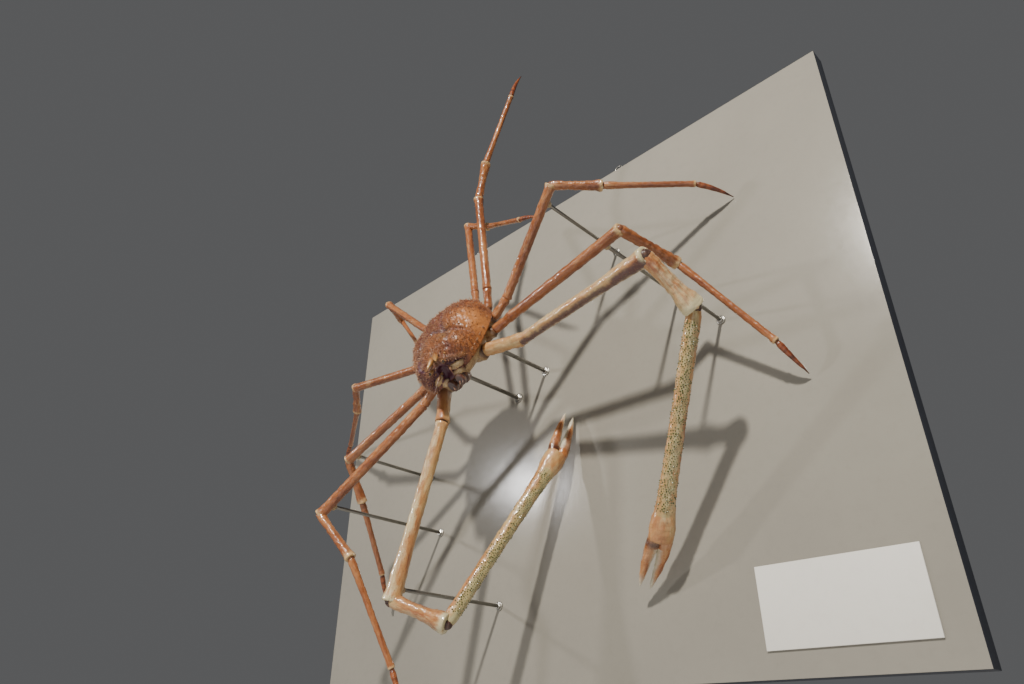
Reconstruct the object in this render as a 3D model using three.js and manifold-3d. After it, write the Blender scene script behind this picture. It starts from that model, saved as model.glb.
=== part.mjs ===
// Mounted Japanese spider crab (Macrocheira kaempferi) on a grey display board.
// Millimetres, +Z up. The origin is the centre of the board's back face, +X runs to the
// right of the board as a visitor sees it, and the crab stands out from it towards -Y.
import * as THREE from 'three';
import { mergeVertices } from 'three/addons/utils/BufferGeometryUtils.js';
import Module from 'manifold-3d';

const wasm = await Module();
wasm.setup();

// Driving dimensions of the mount
const BOARD_WIDTH = 2400;
const BOARD_HEIGHT = 1820;
const BOARD_DEPTH = 60;
const PLATE_WIDTH = 400;
const PLATE_HEIGHT = 200;
const PLATE_THICKNESS = 5;
const PLATE_CENTRE_X = 928;
const PLATE_CENTRE_Z = -746;
const EYE_BOLT_SPREAD = 800;
const EYE_BOLT_RING = 16;
const EYE_BOLT_WIRE = 3;
const ROD_RADIUS = 6;
const BODY_ROD_RADIUS = 7.5;
const GAP = 0.35;

// Driving dimensions of the body
const CARAPACE_LENGTH = 375;
const BODY_CENTRE = new THREE.Vector3(-60, -472, 152);
const BODY_ROLL = 21;
const BODY_PITCH = 23;
const SEAM_FRONT = -50;
const SEAM_REAR = -28;
const UNDERSIDE_LEVEL = -100;

// Limbs, front to rear: where the coxa joint sits on the body (left, forward, up),
// the lengths of ischium, merus, carpus, propodus and dactyl, and the thickest radius
const LIMB_KINDS = {
  cheliped: { coxa: [105, 76, -84], lengths: [140, 572, 190, 635, 160], radius: 27 },
  leg_1: { coxa: [156, 14, -78], lengths: [80, 512, 205, 365, 120], radius: 19 },
  leg_2: { coxa: [162, -46, -64], lengths: [80, 407, 170, 300, 130], radius: 18 },
  leg_3: { coxa: [150, -106, -45], lengths: [75, 430, 158, 345, 160], radius: 17.5 },
  leg_4: { coxa: [104, -158, -24], lengths: [75, 400, 140, 255, 120], radius: 16 },
};

// Pose: the direction of each segment, as degrees round the board's face from +X
// towards +Z, and degrees lifted out of the board's plane towards the visitor
const POSE = {
  cheliped_left: [[2, -16], [-1, 11], [-68, -46], [-120, -18], [-135, -22]],
  cheliped_right: [[-81, 8], [-102, 6], [-25, -28], [70, -26], [82, -17]],
  leg_1_left: [[24, -7], [5, 8], [-41, -65], [-56, -21], [-65, -40]],
  leg_1_right: [[-135, 5], [-131, 19], [-52, -18], [-74, -21], [-71, -18]],
  leg_2_left: [[49, -6], [45, 11], [-5, -40], [-3, -40], [-28, -49]],
  leg_2_right: [[-149, -1], [-153, 7], [-100, -35], [-109, -36], [-108, -34]],
  leg_3_left: [[88, 9], [96, 2], [74, 3], [74, -7], [86, -18]],
  leg_3_right: [[-167, 23], [171, -2], [-163, -37], [-175, -30], [-155, -26]],
  leg_4_left: [[105, -5], [105, -6], [-30, 2], [-28, 11], [-27, 6]],
  leg_4_right: [[124, 31], [140, -4], [175, -59], [-48, 8], [-50, 5]],
};

// The way from the fixed finger to the moving one, on each hand
const FINGER_SIDE = {
  cheliped_left: new THREE.Vector3(-0.66, -0.74, 0.11),
  cheliped_right: new THREE.Vector3(-0.35, -0.77, 0.53),
};

// Rods that carry a limb: how far along the merus each one stands
const LIMB_RODS = {
  cheliped_left: 0.95,
  cheliped_right: 0.94,
  leg_1_left: 0.86,
  leg_1_right: 0.92,
  leg_2_left: 0.86,
  leg_2_right: 0.92,
};
const BODY_RODS = { left: [20, 166], right: [-120, 101] };

// Proportions shared by the limbs
const LIMB_FLATNESS = 0.92;
const ROOT_DEPTH = 46;
const ROOT_AIM = 0.55;
const DACTYL_BOW = 5;
const FINGER_SPREAD = 15;
const FINGER_BOW = 4;
const ABDOMEN_THICKNESS = 7;

// Spines of the carapace, and low knobs along the underside of each hand
const SPINE_SEED = 11;
const SPINE_PITCH = 33;
const SPINE_HEIGHT = 11;
const SPINE_RADIUS = 3.8;
const SPINE_FREE_EDGE = 0.16;
const EDGE_SPINES = [[0.35, 15], [0.27, 18], [0.12, 13], [-0.02, 12]];
const HORN_LENGTH = 36;
const KNOB_PITCH = 27;
const KNOB_HEIGHT = 3.2;
const KNOB_RADIUS = 5;
const KNOB_SIDE = 0.5;

const degrees = THREE.MathUtils.degToRad;

// The body's own directions
const roll = degrees(BODY_ROLL);
const pitch = degrees(BODY_PITCH);
const toLeft = new THREE.Vector3(Math.cos(roll), 0, Math.sin(roll));
const toFront = new THREE.Vector3(
  Math.cos(pitch) * Math.sin(roll), -Math.sin(pitch), -Math.cos(pitch) * Math.cos(roll));
const toBack = new THREE.Vector3().crossVectors(toFront, toLeft);

function onBody(left, forward, up) {
  return BODY_CENTRE.clone()
    .addScaledVector(toLeft, left)
    .addScaledVector(toFront, forward)
    .addScaledVector(toBack, up);
}

function alongBody(left, forward, up) {
  return onBody(left, forward, up).sub(BODY_CENTRE).normalize();
}

function headed([around, out]) {
  const a = degrees(around);
  const o = degrees(out);
  return new THREE.Vector3(Math.cos(o) * Math.cos(a), -Math.sin(o), Math.cos(o) * Math.sin(a));
}

function toSolid(geometry) {
  const bare = geometry.clone();
  bare.deleteAttribute('normal');
  bare.deleteAttribute('uv');
  const merged = mergeVertices(bare, 1e-4);
  return new wasm.Manifold(new wasm.Mesh({
    numProp: 3,
    vertProperties: Float32Array.from(merged.attributes.position.array),
    triVerts: Uint32Array.from(merged.index.array),
  }));
}

function toGeometry(solid) {
  const mesh = solid.getMesh();
  const geometry = new THREE.BufferGeometry();
  geometry.setAttribute('position', new THREE.BufferAttribute(mesh.vertProperties, 3));
  geometry.setIndex(new THREE.BufferAttribute(mesh.triVerts, 1));
  return geometry;
}

function largestPiece(solid) {
  const pieces = solid.decompose();
  return pieces.reduce((best, piece) => (piece.volume() > best.volume() ? piece : best));
}

// Moves every point of a closed skin outwards, so that its faces all shift by `grow`
function grownPoints(points, faces, grow) {
  const normals = [];
  for (let f = 0; f < faces.length; f += 3) {
    const [a, b, c] = [0, 1, 2].map((i) => points[faces[f + i]]);
    normals.push(new THREE.Triangle(a, b, c).getNormal(new THREE.Vector3()));
  }
  const shifts = points.map(() => new THREE.Vector3());
  faces.forEach((point, i) => shifts[point].add(normals[Math.floor(i / 3)]));
  const closest = points.map(() => 1);
  shifts.forEach((shift) => shift.normalize());
  faces.forEach((point, i) => {
    const dot = shifts[point].dot(normals[Math.floor(i / 3)]);
    closest[point] = Math.min(closest[point], Math.max(dot, 0.5));
  });
  return points.map((p, i) => p.clone().addScaledVector(shifts[i], grow / closest[i]));
}

// A closed skin through rings of equal point counts, with a flat fan at each end
function loft(rings, grow = 0) {
  const count = rings[0].length;
  let points = rings.flat();
  const faces = [];
  for (let i = 0; i + 1 < rings.length; i += 1) {
    for (let k = 0; k < count; k += 1) {
      const next = (k + 1) % count;
      const low = i * count;
      const high = low + count;
      faces.push(low + k, low + next, high + next);
      faces.push(low + k, high + next, high + k);
    }
  }
  const middle = (ring) => ring.reduce((sum, p) => sum.add(p), new THREE.Vector3())
    .divideScalar(count);
  const lastRing = (rings.length - 1) * count;
  points.push(middle(rings[0]), middle(rings[rings.length - 1]));
  for (let k = 0; k < count; k += 1) {
    const next = (k + 1) % count;
    faces.push(points.length - 2, next, k);
    faces.push(points.length - 1, lastRing + k, lastRing + next);
  }
  if (grow > 0) {
    points = grownPoints(points, faces, grow);
  }
  const geometry = new THREE.BufferGeometry();
  geometry.setAttribute('position', new THREE.Float32BufferAttribute(
    points.flatMap((p) => [p.x, p.y, p.z]), 3));
  geometry.setIndex(faces);
  return toSolid(geometry);
}

// A ring across the way `along`: `tall` is its radius towards `hint`, `wide` across it
function ringAt(at, along, hint, tall, wide, sides) {
  const up = hint.clone().addScaledVector(along, -hint.dot(along)).normalize();
  const across = new THREE.Vector3().crossVectors(along, up);
  return Array.from({ length: sides }, (_, k) => {
    const angle = (2 * Math.PI * (k + 0.5)) / sides;
    return at.clone()
      .addScaledVector(up, tall * Math.cos(angle))
      .addScaledVector(across, wide * Math.sin(angle));
  });
}

// The rounded end of a segment, centred on its joint
function knuckle(at, tall, wide) {
  return [25, 50, 72].map((degree) => {
    const a = degrees(degree);
    return [at + tall * Math.sin(a), tall * Math.cos(a), wide * Math.cos(a)];
  });
}

// One straight shell segment: its stations give the distance along it and the tall and
// wide radius there. `bow` bends its middle towards the hint.
function segment(start, along, hint, stations, { grow = 0, bow = 0, sides = 8 } = {}) {
  const length = stations[stations.length - 1][0];
  const up = hint.clone().addScaledVector(along, -hint.dot(along)).normalize();
  return loft(stations.map(([distance, tall, wide]) => {
    const at = start.clone()
      .addScaledVector(along, distance)
      .addScaledVector(up, bow * Math.sin((Math.PI * distance) / length));
    return ringAt(at, along, hint, tall, wide, sides);
  }), grow);
}

// Coxa, ischium and merus: one bent shell that starts inside the body's underside
function upperShell(limb, grow = 0) {
  const { coxa, joints, ways, radius } = limb;
  const socket = joints[0];
  const outward = socket.clone().sub(onBody(0, coxa.y * ROOT_AIM, coxa.z)).normalize();
  const root = socket.clone().addScaledVector(outward, -ROOT_DEPTH);
  const bend = (a, b) => a.clone().add(b).normalize();
  const merus = limb.lengths[1];
  const rings = [];
  const put = (from, way, distance, share, along = way) => {
    const at = from.clone().addScaledVector(way, distance);
    const tall = radius * share;
    rings.push(ringAt(at, along, limb.hint, tall, tall * LIMB_FLATNESS, limb.sides));
  };
  const [, ischiumEnd, knee] = joints;
  put(root, outward, 0, 0.92);
  put(socket, outward, -radius * 0.5, 1.02);
  put(socket, ways[0], 0, 0.78, bend(outward, ways[0]));
  put(socket, ways[0], radius * 0.55, 0.94);
  put(ischiumEnd, ways[0], -radius * 0.6, 0.9);
  put(ischiumEnd, ways[1], 0, 0.76, bend(ways[0], ways[1]));
  put(ischiumEnd, ways[1], radius * 0.7, 0.88);
  put(ischiumEnd, ways[1], merus * 0.3, limb.meanMerus);
  put(ischiumEnd, ways[1], merus * 0.65, limb.meanMerus);
  put(ischiumEnd, ways[1], merus * 0.88, limb.farMerus);
  put(knee, ways[1], -radius * 0.8, limb.farMerus * 1.12);
  put(knee, ways[1], 0, limb.farMerus);
  knuckle(0, radius * limb.farMerus, radius).forEach(([distance, tall]) => {
    put(knee, ways[1], distance, tall / radius);
  });
  return loft(rings, grow);
}

function carpusShell(limb, grow = 0) {
  const length = limb.lengths[2];
  const r = limb.radius;
  const stations = [
    [0, r * 0.62, r * 0.58],
    [length * 0.14, r * 0.86, r * 0.8],
    [length * 0.3, r * 0.8, r * 0.72],
    [length * 0.62, r * 0.84, r * 0.76],
    [length - r * 0.9, r * limb.collar, r * limb.collar * 0.88],
    [length, r * 0.84, r * 0.76],
    ...knuckle(length, r * 0.84, r * 0.76),
  ];
  return segment(limb.joints[2], limb.ways[2], limb.hint, stations, { grow, sides: limb.sides });
}

function propodusShell(limb, grow = 0) {
  const length = limb.lengths[3];
  const r = limb.radius;
  const stations = [
    [0, r * 0.5, r * 0.48],
    [r * 1.5, r * 0.72, r * 0.66],
    [length * 0.2, r * 0.62, r * 0.58],
    [length * 0.6, r * 0.56, r * 0.52],
    [length - r, r * 0.56, r * 0.52],
    [length, r * 0.48, r * 0.46],
    ...knuckle(length, r * 0.48, r * 0.46),
  ];
  return segment(limb.joints[3], limb.ways[3], limb.hint, stations, { grow, sides: limb.sides });
}

function dactylShell(limb) {
  const length = limb.lengths[4];
  const r = limb.radius;
  const stations = [
    [0, r * 0.4, r * 0.36],
    [r, r * 0.52, r * 0.46],
    [length * 0.4, r * 0.46, r * 0.4],
    [length * 0.7, r * 0.3, r * 0.26],
    [length * 0.9, r * 0.14, r * 0.12],
    [length, 0.9, 0.8],
  ];
  return segment(limb.joints[4], limb.ways[4], limb.hint, stations,
    { bow: DACTYL_BOW, sides: limb.sides });
}

// The long palm of a cheliped, wider towards the fingers
function palmShell(limb, grow = 0) {
  const length = limb.lengths[3];
  const r = limb.radius;
  const stations = [
    [0, r * 0.6, r * 0.54],
    [r * 1.2, r * 0.8, r * 0.7],
    [length * 0.3, r * 0.8, r * 0.7],
    [length * 0.7, r * 0.88, r * 0.74],
    [length * 0.86, r * 1.04, r * 0.84],
    [length * 0.95, r * 1.32, r],
    [length, r * 1.28, r * 0.95],
    [length + r * 0.35, r * 1.1, r * 0.8],
  ];
  return segment(limb.joints[3], limb.ways[3], limb.hint, stations, { grow, sides: limb.sides });
}

// Low knobs in a double row along the edge of the palm that ends in the fixed finger
function palmKnobs(limb) {
  const way = limb.ways[3];
  const edge = limb.hint.clone().addScaledVector(way, -limb.hint.dot(way)).normalize().negate();
  const across = new THREE.Vector3().crossVectors(way, edge);
  const knobs = [];
  const length = limb.lengths[3];
  for (let along = KNOB_PITCH * 2; along < length * 0.84; along += KNOB_PITCH) {
    [KNOB_SIDE, -KNOB_SIDE].forEach((side) => {
      const out = edge.clone().addScaledVector(across, side).normalize();
      const reach = limb.radius * (0.7 + (0.12 * along) / length);
      const at = limb.joints[3].clone().addScaledVector(way, along).addScaledVector(out, reach);
      knobs.push(spineForm(at, out, KNOB_HEIGHT, KNOB_RADIUS));
    });
  }
  return knobs;
}

// A finger of a cheliped, on the moving side (1) or the fixed side (-1) of the palm
function fingerShell(limb, side, grow = 0) {
  const r = limb.radius;
  const rooted = r * 0.3;
  const length = limb.lengths[4] + rooted;
  const way = limb.ways[4];
  const offset = limb.hint.clone().addScaledVector(way, -limb.hint.dot(way)).normalize();
  const start = limb.joints[4].clone()
    .addScaledVector(offset, side * FINGER_SPREAD)
    .addScaledVector(way, -rooted);
  const stations = [
    [0, r * 0.66, r * 0.64],
    [length * 0.16, r * 0.66, r * 0.62],
    [length * 0.45, r * 0.46, r * 0.46],
    [length * 0.75, r * 0.29, r * 0.3],
    [length * 0.93, r * 0.14, r * 0.15],
    [length, 1.2, 1.2],
  ];
  return segment(start, way, limb.hint, stations,
    { grow, bow: side * FINGER_BOW, sides: limb.sides });
}

function makeLimb(kindName, side) {
  const name = `${kindName}_${side}`;
  const kind = LIMB_KINDS[kindName];
  const sign = side === 'left' ? 1 : -1;
  const isCheliped = kindName === 'cheliped';
  const coxa = new THREE.Vector3(sign * kind.coxa[0], kind.coxa[1], kind.coxa[2]);
  const ways = POSE[name].map(headed);
  const joints = [onBody(coxa.x, coxa.y, coxa.z)];
  ways.forEach((way, i) => {
    joints.push(joints[i].clone().addScaledVector(way, kind.lengths[i]));
  });
  return {
    name, coxa, ways, joints, isCheliped,
    lengths: kind.lengths,
    radius: kind.radius,
    meanMerus: isCheliped ? 0.77 : 0.92,
    farMerus: 0.95,
    collar: isCheliped ? 1.2 : 1.02,
    hint: isCheliped ? FINGER_SIDE[name] : toBack,
    sides: isCheliped ? 10 : 8,
  };
}

// The carapace from rear to front: place, half width and height over the seam, each as
// a share of its length
const CARAPACE_PROFILE = [
  [-0.5, 0.11, 0.04], [-0.47, 0.22, 0.1], [-0.4, 0.33, 0.19], [-0.3, 0.4, 0.265],
  [-0.19, 0.445, 0.315], [-0.07, 0.455, 0.33], [0.05, 0.435, 0.33], [0.15, 0.4, 0.31],
  [0.24, 0.36, 0.285], [0.31, 0.325, 0.265], [0.365, 0.28, 0.245], [0.4, 0.225, 0.225],
  [0.425, 0.16, 0.205], [0.445, 0.085, 0.18],
];

// The hollow under the forehead: how far its rings draw in, and where each one lies
const FACE_HOLLOW = [[0.8, 0.442], [0.62, 0.41], [0.4, 0.39]];

// The underside the same way, with its depth below the seam
const UNDERSIDE_PROFILE = [
  [-0.44, 0.12, 0.3], [-0.38, 0.22, 0.55], [-0.26, 0.3, 0.8], [-0.1, 0.34, 1],
  [0.06, 0.34, 1], [0.18, 0.31, 0.95], [0.28, 0.25, 0.85], [0.36, 0.18, 0.7], [0.41, 0.11, 0.4],
];

// The domed regions of the carapace: where each lies, its reach, and how far it swells
const REGIONS = [
  [0, 0.22, 0.11, 0.035], [0, -0.14, 0.1, 0.03], [0, -0.36, 0.08, 0.02],
  [0.28, -0.04, 0.16, 0.035], [-0.28, -0.04, 0.16, 0.035],
  [0.25, 0.31, 0.075, 0.04], [-0.25, 0.31, 0.075, 0.04],
];

// The height of the carapace's lower rim, which rises towards the rear
function seamAt(forwardShare) {
  const rearward = THREE.MathUtils.smoothstep(-forwardShare, 0.1, 0.45);
  return THREE.MathUtils.lerp(SEAM_FRONT, SEAM_REAR, rearward);
}

function swellAt(left, forward) {
  return REGIONS.reduce((sum, [x, y, reach, swell]) => {
    const away = Math.hypot(left / CARAPACE_LENGTH - x, forward / CARAPACE_LENGTH - y) / reach;
    return sum + swell * CARAPACE_LENGTH * Math.exp(-away * away);
  }, 0);
}

// A point of the domed shell: `turn` runs from the left edge (0) over the back to pi
function shellPoint([forwardShare, widthShare, heightShare], turn) {
  const forward = forwardShare * CARAPACE_LENGTH;
  const swing = Math.cos(turn);
  const left = widthShare * CARAPACE_LENGTH * Math.sign(swing) * Math.abs(swing) ** 0.85;
  const rise = Math.sin(turn) ** 0.8;
  const domed = heightShare * CARAPACE_LENGTH + swellAt(left, forward) * Math.min(1, heightShare * 5);
  return [left, forward, seamAt(forwardShare) + rise * domed];
}

function carapaceForm(grow = 0) {
  const steps = 14;
  const rings = CARAPACE_PROFILE.map((station) => {
    const over = Array.from({ length: steps + 1 }, (_, k) =>
      onBody(...shellPoint(station, (Math.PI * k) / steps)));
    const [forward, width] = station;
    const under = [-0.5, 0, 0.5].map((share) => onBody(
      share * width * CARAPACE_LENGTH, forward * CARAPACE_LENGTH, seamAt(forward)));
    return [...over, ...under];
  });
  const face = rings[rings.length - 1];
  const middle = face.reduce((sum, point) => sum.add(point), new THREE.Vector3())
    .divideScalar(face.length);
  const faceAt = CARAPACE_PROFILE[CARAPACE_PROFILE.length - 1][0];
  const hollow = FACE_HOLLOW.map(([share, place]) => face.map((point) => middle.clone()
    .lerp(point, share)
    .addScaledVector(toFront, (place - faceAt) * CARAPACE_LENGTH)));
  return loft([...rings, ...hollow], grow);
}

// A tapered spine: its root is sunk in the shell at `at`, and it stands out along `way`
function spineForm(at, way, height, radius, sides = 5) {
  const sunk = height * 0.6 + 2;
  const cone = new THREE.ConeGeometry(radius, height + sunk, sides)
    .translate(0, (height - sunk) / 2, 0)
    .applyQuaternion(new THREE.Quaternion().setFromUnitVectors(new THREE.Vector3(0, 1, 0), way))
    .translate(at.x, at.y, at.z);
  return toSolid(cone);
}

// The carapace's half width and height at any place between its stations
function stationAt(forward) {
  const next = CARAPACE_PROFILE.findIndex(([place]) => place > forward);
  const [low, high] = [CARAPACE_PROFILE[next - 1], CARAPACE_PROFILE[next]];
  const share = (forward - low[0]) / (high[0] - low[0]);
  return low.map((value, i) => value + share * (high[i] - value));
}

function shellSpine(forward, turn, height, radius) {
  const at = onBody(...shellPoint(stationAt(forward), turn));
  const ahead = onBody(...shellPoint(stationAt(forward + 0.01), turn)).sub(at);
  const across = onBody(...shellPoint(stationAt(forward), turn + 0.02)).sub(at);
  return spineForm(at, across.cross(ahead).normalize(), height, radius);
}

// Short spines in rows over the back, with a few longer ones along both edges
function carapaceSpines() {
  THREE.MathUtils.seededRandom(SPINE_SEED);
  const wander = (reach) => (THREE.MathUtils.seededRandom() - 0.5) * reach;
  const spines = [];
  for (let row = -0.4; row < 0.37; row += SPINE_PITCH / CARAPACE_LENGTH) {
    const across = stationAt(row)[1] * CARAPACE_LENGTH * 2.2;
    const count = Math.round(across / SPINE_PITCH);
    for (let k = 0; k < count; k += 1) {
      const share = (k + 0.5 + wander(0.5)) / count;
      const turn = Math.PI * (SPINE_FREE_EDGE + (1 - 2 * SPINE_FREE_EDGE) * share);
      const height = SPINE_HEIGHT * (1 + wander(0.6));
      spines.push(shellSpine(row + wander(0.03), turn, height, SPINE_RADIUS));
    }
  }
  EDGE_SPINES.forEach(([forward, height]) => [0.1, 0.9].forEach((edge) => {
    spines.push(shellSpine(forward, Math.PI * edge, height, SPINE_RADIUS * 1.4));
  }));
  return spines;
}

// The two horns of the forehead, and a shorter spine over each eye
function hornForms() {
  return [1, -1].flatMap((sign) => [
    spineForm(onBody(sign * 12, 148, 38), alongBody(sign * 0.2, 1, 0.05), HORN_LENGTH, 9.5, 7),
    spineForm(onBody(sign * 40, 140, 26), alongBody(sign * 0.5, 0.85, 0.2), HORN_LENGTH * 0.45, 6),
  ]);
}

function undersideForm(grow = 0) {
  const steps = 10;
  const rings = UNDERSIDE_PROFILE.map(([forward, width, depth]) => {
    const seam = seamAt(forward);
    const under = Array.from({ length: steps + 1 }, (_, k) => {
      const turn = (Math.PI * k) / steps;
      return onBody(
        width * CARAPACE_LENGTH * Math.cos(turn),
        forward * CARAPACE_LENGTH,
        seam + (UNDERSIDE_LEVEL - seam) * depth * Math.sin(turn) ** 0.6,
      );
    });
    return [...under, onBody(0, forward * CARAPACE_LENGTH, seam)].reverse();
  });
  return loft(rings, grow);
}

// The narrow tail, folded flat under the body and tapering towards the front
function abdomenForm() {
  const rings = [[-165, 30, -40], [-130, 36, -72], [-60, 34, -96], [0, 26, -104], [52, 16, -100]]
    .map(([forward, halfWidth, level]) => ringAt(
      onBody(0, forward, level), toFront, toBack, ABDOMEN_THICKNESS, halfWidth, 10));
  return loft(rings);
}

// The two outer mouthparts side by side, joined at their root and parted by a groove
function mouthForm() {
  const half = (sign) => segment(onBody(sign * 18, 110, -80), alongBody(0, 1, 0.24), toBack, [
    [0, 24, 19], [24, 28, 22], [50, 25, 20], [70, 16, 13], [76, 8, 7],
  ]);
  return half(1).add(half(-1));
}

function eyeForm(sign) {
  return segment(onBody(sign * 20, 150, 16), alongBody(sign * 0.45, 0.88, 0.1), toBack, [
    [0, 5, 5], [12, 5, 5], [18, 8, 8], [25, 9.5, 9.5], [32, 7, 7], [36, 2.5, 2.5],
  ]);
}

function antennaForm(sign) {
  return segment(onBody(sign * 19, 148, -14), alongBody(sign * 0.35, 1, -0.1), toBack, [
    [0, 5.5, 5.5], [22, 5.5, 5.5], [38, 4.2, 4.2], [42, 2.2, 2.2], [66, 1.6, 1.6], [92, 0.8, 0.8],
  ], { bow: 3, sides: 6 });
}

function rodForm(x, z, endY, radius) {
  const front = -BOARD_DEPTH - GAP;
  const span = front - endY;
  const bar = new THREE.CylinderGeometry(radius, radius, span, 12).translate(0, endY + span / 2, 0);
  const flange = new THREE.CylinderGeometry(radius * 2.4, radius * 2.4, 4, 16)
    .translate(0, front - 2, 0);
  const nut = new THREE.CylinderGeometry(radius * 1.7, radius * 1.7, 9, 6)
    .translate(0, front - 7, 0);
  const bolt = [flange, nut].reduce((sum, piece) => sum.add(toSolid(piece)), toSolid(bar));
  return bolt.translate([x, 0, z]);
}

function eyeBoltForm(x) {
  const top = BOARD_HEIGHT / 2 + GAP;
  const y = -BOARD_DEPTH / 2;
  const ring = new THREE.TorusGeometry(EYE_BOLT_RING, EYE_BOLT_WIRE, 6, 16)
    .rotateX(Math.PI / 2)
    .translate(x, y, top + 10 + EYE_BOLT_RING);
  const shank = new THREE.CylinderGeometry(EYE_BOLT_WIRE, EYE_BOLT_WIRE, 12, 8)
    .rotateX(Math.PI / 2).translate(x, y, top + 6);
  const collar = new THREE.CylinderGeometry(9, 9, 3, 12)
    .rotateX(Math.PI / 2).translate(x, y, top + 1.5);
  return [shank, collar].reduce((sum, piece) => sum.add(toSolid(piece)), toSolid(ring));
}

// Finishes: colour, roughness, metalness
const FINISHES = {
  shell: ['#a8552f', 0.35, 0],
  leg: ['#b3693c', 0.4, 0],
  pale: ['#cbb387', 0.45, 0],
  dark: ['#5a2f22', 0.35, 0],
  eye: ['#15100d', 0.2, 0],
  steel: ['#77756d', 0.4, 1],
  board: ['#a9a496', 0.5, 0],
  plate: ['#ece8dc', 0.6, 0],
};

const group = new THREE.Group();

function place(name, finish, geometry) {
  const [color, roughness, metalness] = FINISHES[finish];
  const mesh = new THREE.Mesh(
    geometry, new THREE.MeshStandardMaterial({ color, roughness, metalness }));
  mesh.name = name;
  group.add(mesh);
}

place('display_board', 'board', new THREE.BoxGeometry(BOARD_WIDTH, BOARD_DEPTH, BOARD_HEIGHT)
  .translate(0, -BOARD_DEPTH / 2, 0));
place('name_plate', 'plate', new THREE.BoxGeometry(PLATE_WIDTH, PLATE_THICKNESS, PLATE_HEIGHT)
  .translate(PLATE_CENTRE_X, -BOARD_DEPTH - GAP - PLATE_THICKNESS / 2, PLATE_CENTRE_Z));
[['left', -1], ['right', 1]].forEach(([side, sign]) => {
  place(`eye_bolt_${side}`, 'steel', toGeometry(eyeBoltForm((sign * EYE_BOLT_SPREAD) / 2)));
});

const carapace = carapaceForm().add(wasm.Manifold.union([...carapaceSpines(), ...hornForms()]));
const carapaceRoom = carapaceForm(GAP);
const underside = undersideForm().subtract(carapaceRoom);
const undersideRoom = undersideForm(GAP);
const bodyRoom = carapaceRoom.add(undersideRoom);
place('carapace', 'shell', toGeometry(largestPiece(carapace)));
place('underside', 'pale', toGeometry(underside));
place('abdomen', 'pale', toGeometry(largestPiece(abdomenForm().subtract(bodyRoom))));
place('mouthparts', 'pale', toGeometry(largestPiece(mouthForm().subtract(bodyRoom))));
[['left', 1], ['right', -1]].forEach(([side, sign]) => {
  place(`eye_${side}`, 'eye', toGeometry(largestPiece(eyeForm(sign).subtract(bodyRoom))));
  place(`antenna_${side}`, 'pale', toGeometry(largestPiece(antennaForm(sign).subtract(bodyRoom))));
});

const limbs = Object.keys(LIMB_KINDS).flatMap((kind) =>
  ['left', 'right'].map((side) => makeLimb(kind, side)));

limbs.forEach((limb) => {
  const upper = upperShell(limb).subtract(bodyRoom);
  place(`${limb.name}_merus`, 'leg', toGeometry(largestPiece(upper)));
  const carpus = carpusShell(limb).subtract(upperShell(limb, GAP));
  place(`${limb.name}_carpus`, 'pale', toGeometry(largestPiece(carpus)));
  const carpusRoom = carpusShell(limb, GAP);
  if (limb.isCheliped) {
    const palm = palmShell(limb).add(wasm.Manifold.union(palmKnobs(limb)));
    const hand = palm.add(fingerShell(limb, -1)).subtract(carpusRoom);
    place(`${limb.name}_hand`, 'pale', toGeometry(largestPiece(hand)));
    const handRoom = palmShell(limb, GAP).add(fingerShell(limb, -1, GAP));
    const finger = fingerShell(limb, 1).subtract(handRoom);
    place(`${limb.name}_finger`, 'dark', toGeometry(largestPiece(finger)));
  } else {
    const propodus = propodusShell(limb).subtract(carpusRoom).subtract(upperShell(limb, GAP));
    place(`${limb.name}_propodus`, 'leg', toGeometry(largestPiece(propodus)));
    const dactyl = dactylShell(limb).subtract(propodusShell(limb, GAP));
    place(`${limb.name}_dactyl`, 'dark', toGeometry(largestPiece(dactyl)));
  }
});

Object.entries(LIMB_RODS).forEach(([name, share]) => {
  const limb = limbs.find((candidate) => candidate.name === name);
  const held = limb.joints[1].clone().lerp(limb.joints[2], share);
  const rod = rodForm(held.x, held.z, held.y, ROD_RADIUS).subtract(upperShell(limb, GAP));
  place(`rod_${name}`, 'steel', toGeometry(largestPiece(rod)));
});
Object.entries(BODY_RODS).forEach(([side, [x, z]]) => {
  const rod = rodForm(x, z, BODY_CENTRE.y, BODY_ROD_RADIUS).subtract(bodyRoom);
  place(`rod_body_${side}`, 'steel', toGeometry(largestPiece(rod)));
});

export default group;
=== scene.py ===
"""Looks of the mounted spider crab: shell, spines, varnish, rods, board and plate."""
from math import cos, pi, radians, sin

import bpy
import numpy as np
from mathutils import Matrix, Vector


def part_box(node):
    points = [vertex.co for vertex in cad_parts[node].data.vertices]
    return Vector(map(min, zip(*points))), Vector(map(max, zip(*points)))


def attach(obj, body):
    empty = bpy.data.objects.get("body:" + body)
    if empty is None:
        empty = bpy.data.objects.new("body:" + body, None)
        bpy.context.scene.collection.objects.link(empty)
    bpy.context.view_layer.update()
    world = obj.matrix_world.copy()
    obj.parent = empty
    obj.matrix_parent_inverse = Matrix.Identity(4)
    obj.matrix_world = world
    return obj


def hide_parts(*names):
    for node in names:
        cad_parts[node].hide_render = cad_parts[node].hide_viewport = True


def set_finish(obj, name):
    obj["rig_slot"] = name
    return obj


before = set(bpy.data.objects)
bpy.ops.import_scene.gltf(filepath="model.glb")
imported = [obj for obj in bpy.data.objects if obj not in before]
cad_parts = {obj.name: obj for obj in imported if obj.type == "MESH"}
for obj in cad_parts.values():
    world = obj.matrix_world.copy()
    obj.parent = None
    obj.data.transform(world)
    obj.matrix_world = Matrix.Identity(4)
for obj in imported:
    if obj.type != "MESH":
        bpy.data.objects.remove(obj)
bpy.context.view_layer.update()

MM = 0.001
BOARD_WIDTH, BOARD_HEIGHT, BOARD_DEPTH = 2400, 1820, 60
BOARD_FACE = -60.35  # where anything that stands on the board begins
BOARD_TOP = 910.35
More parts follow.
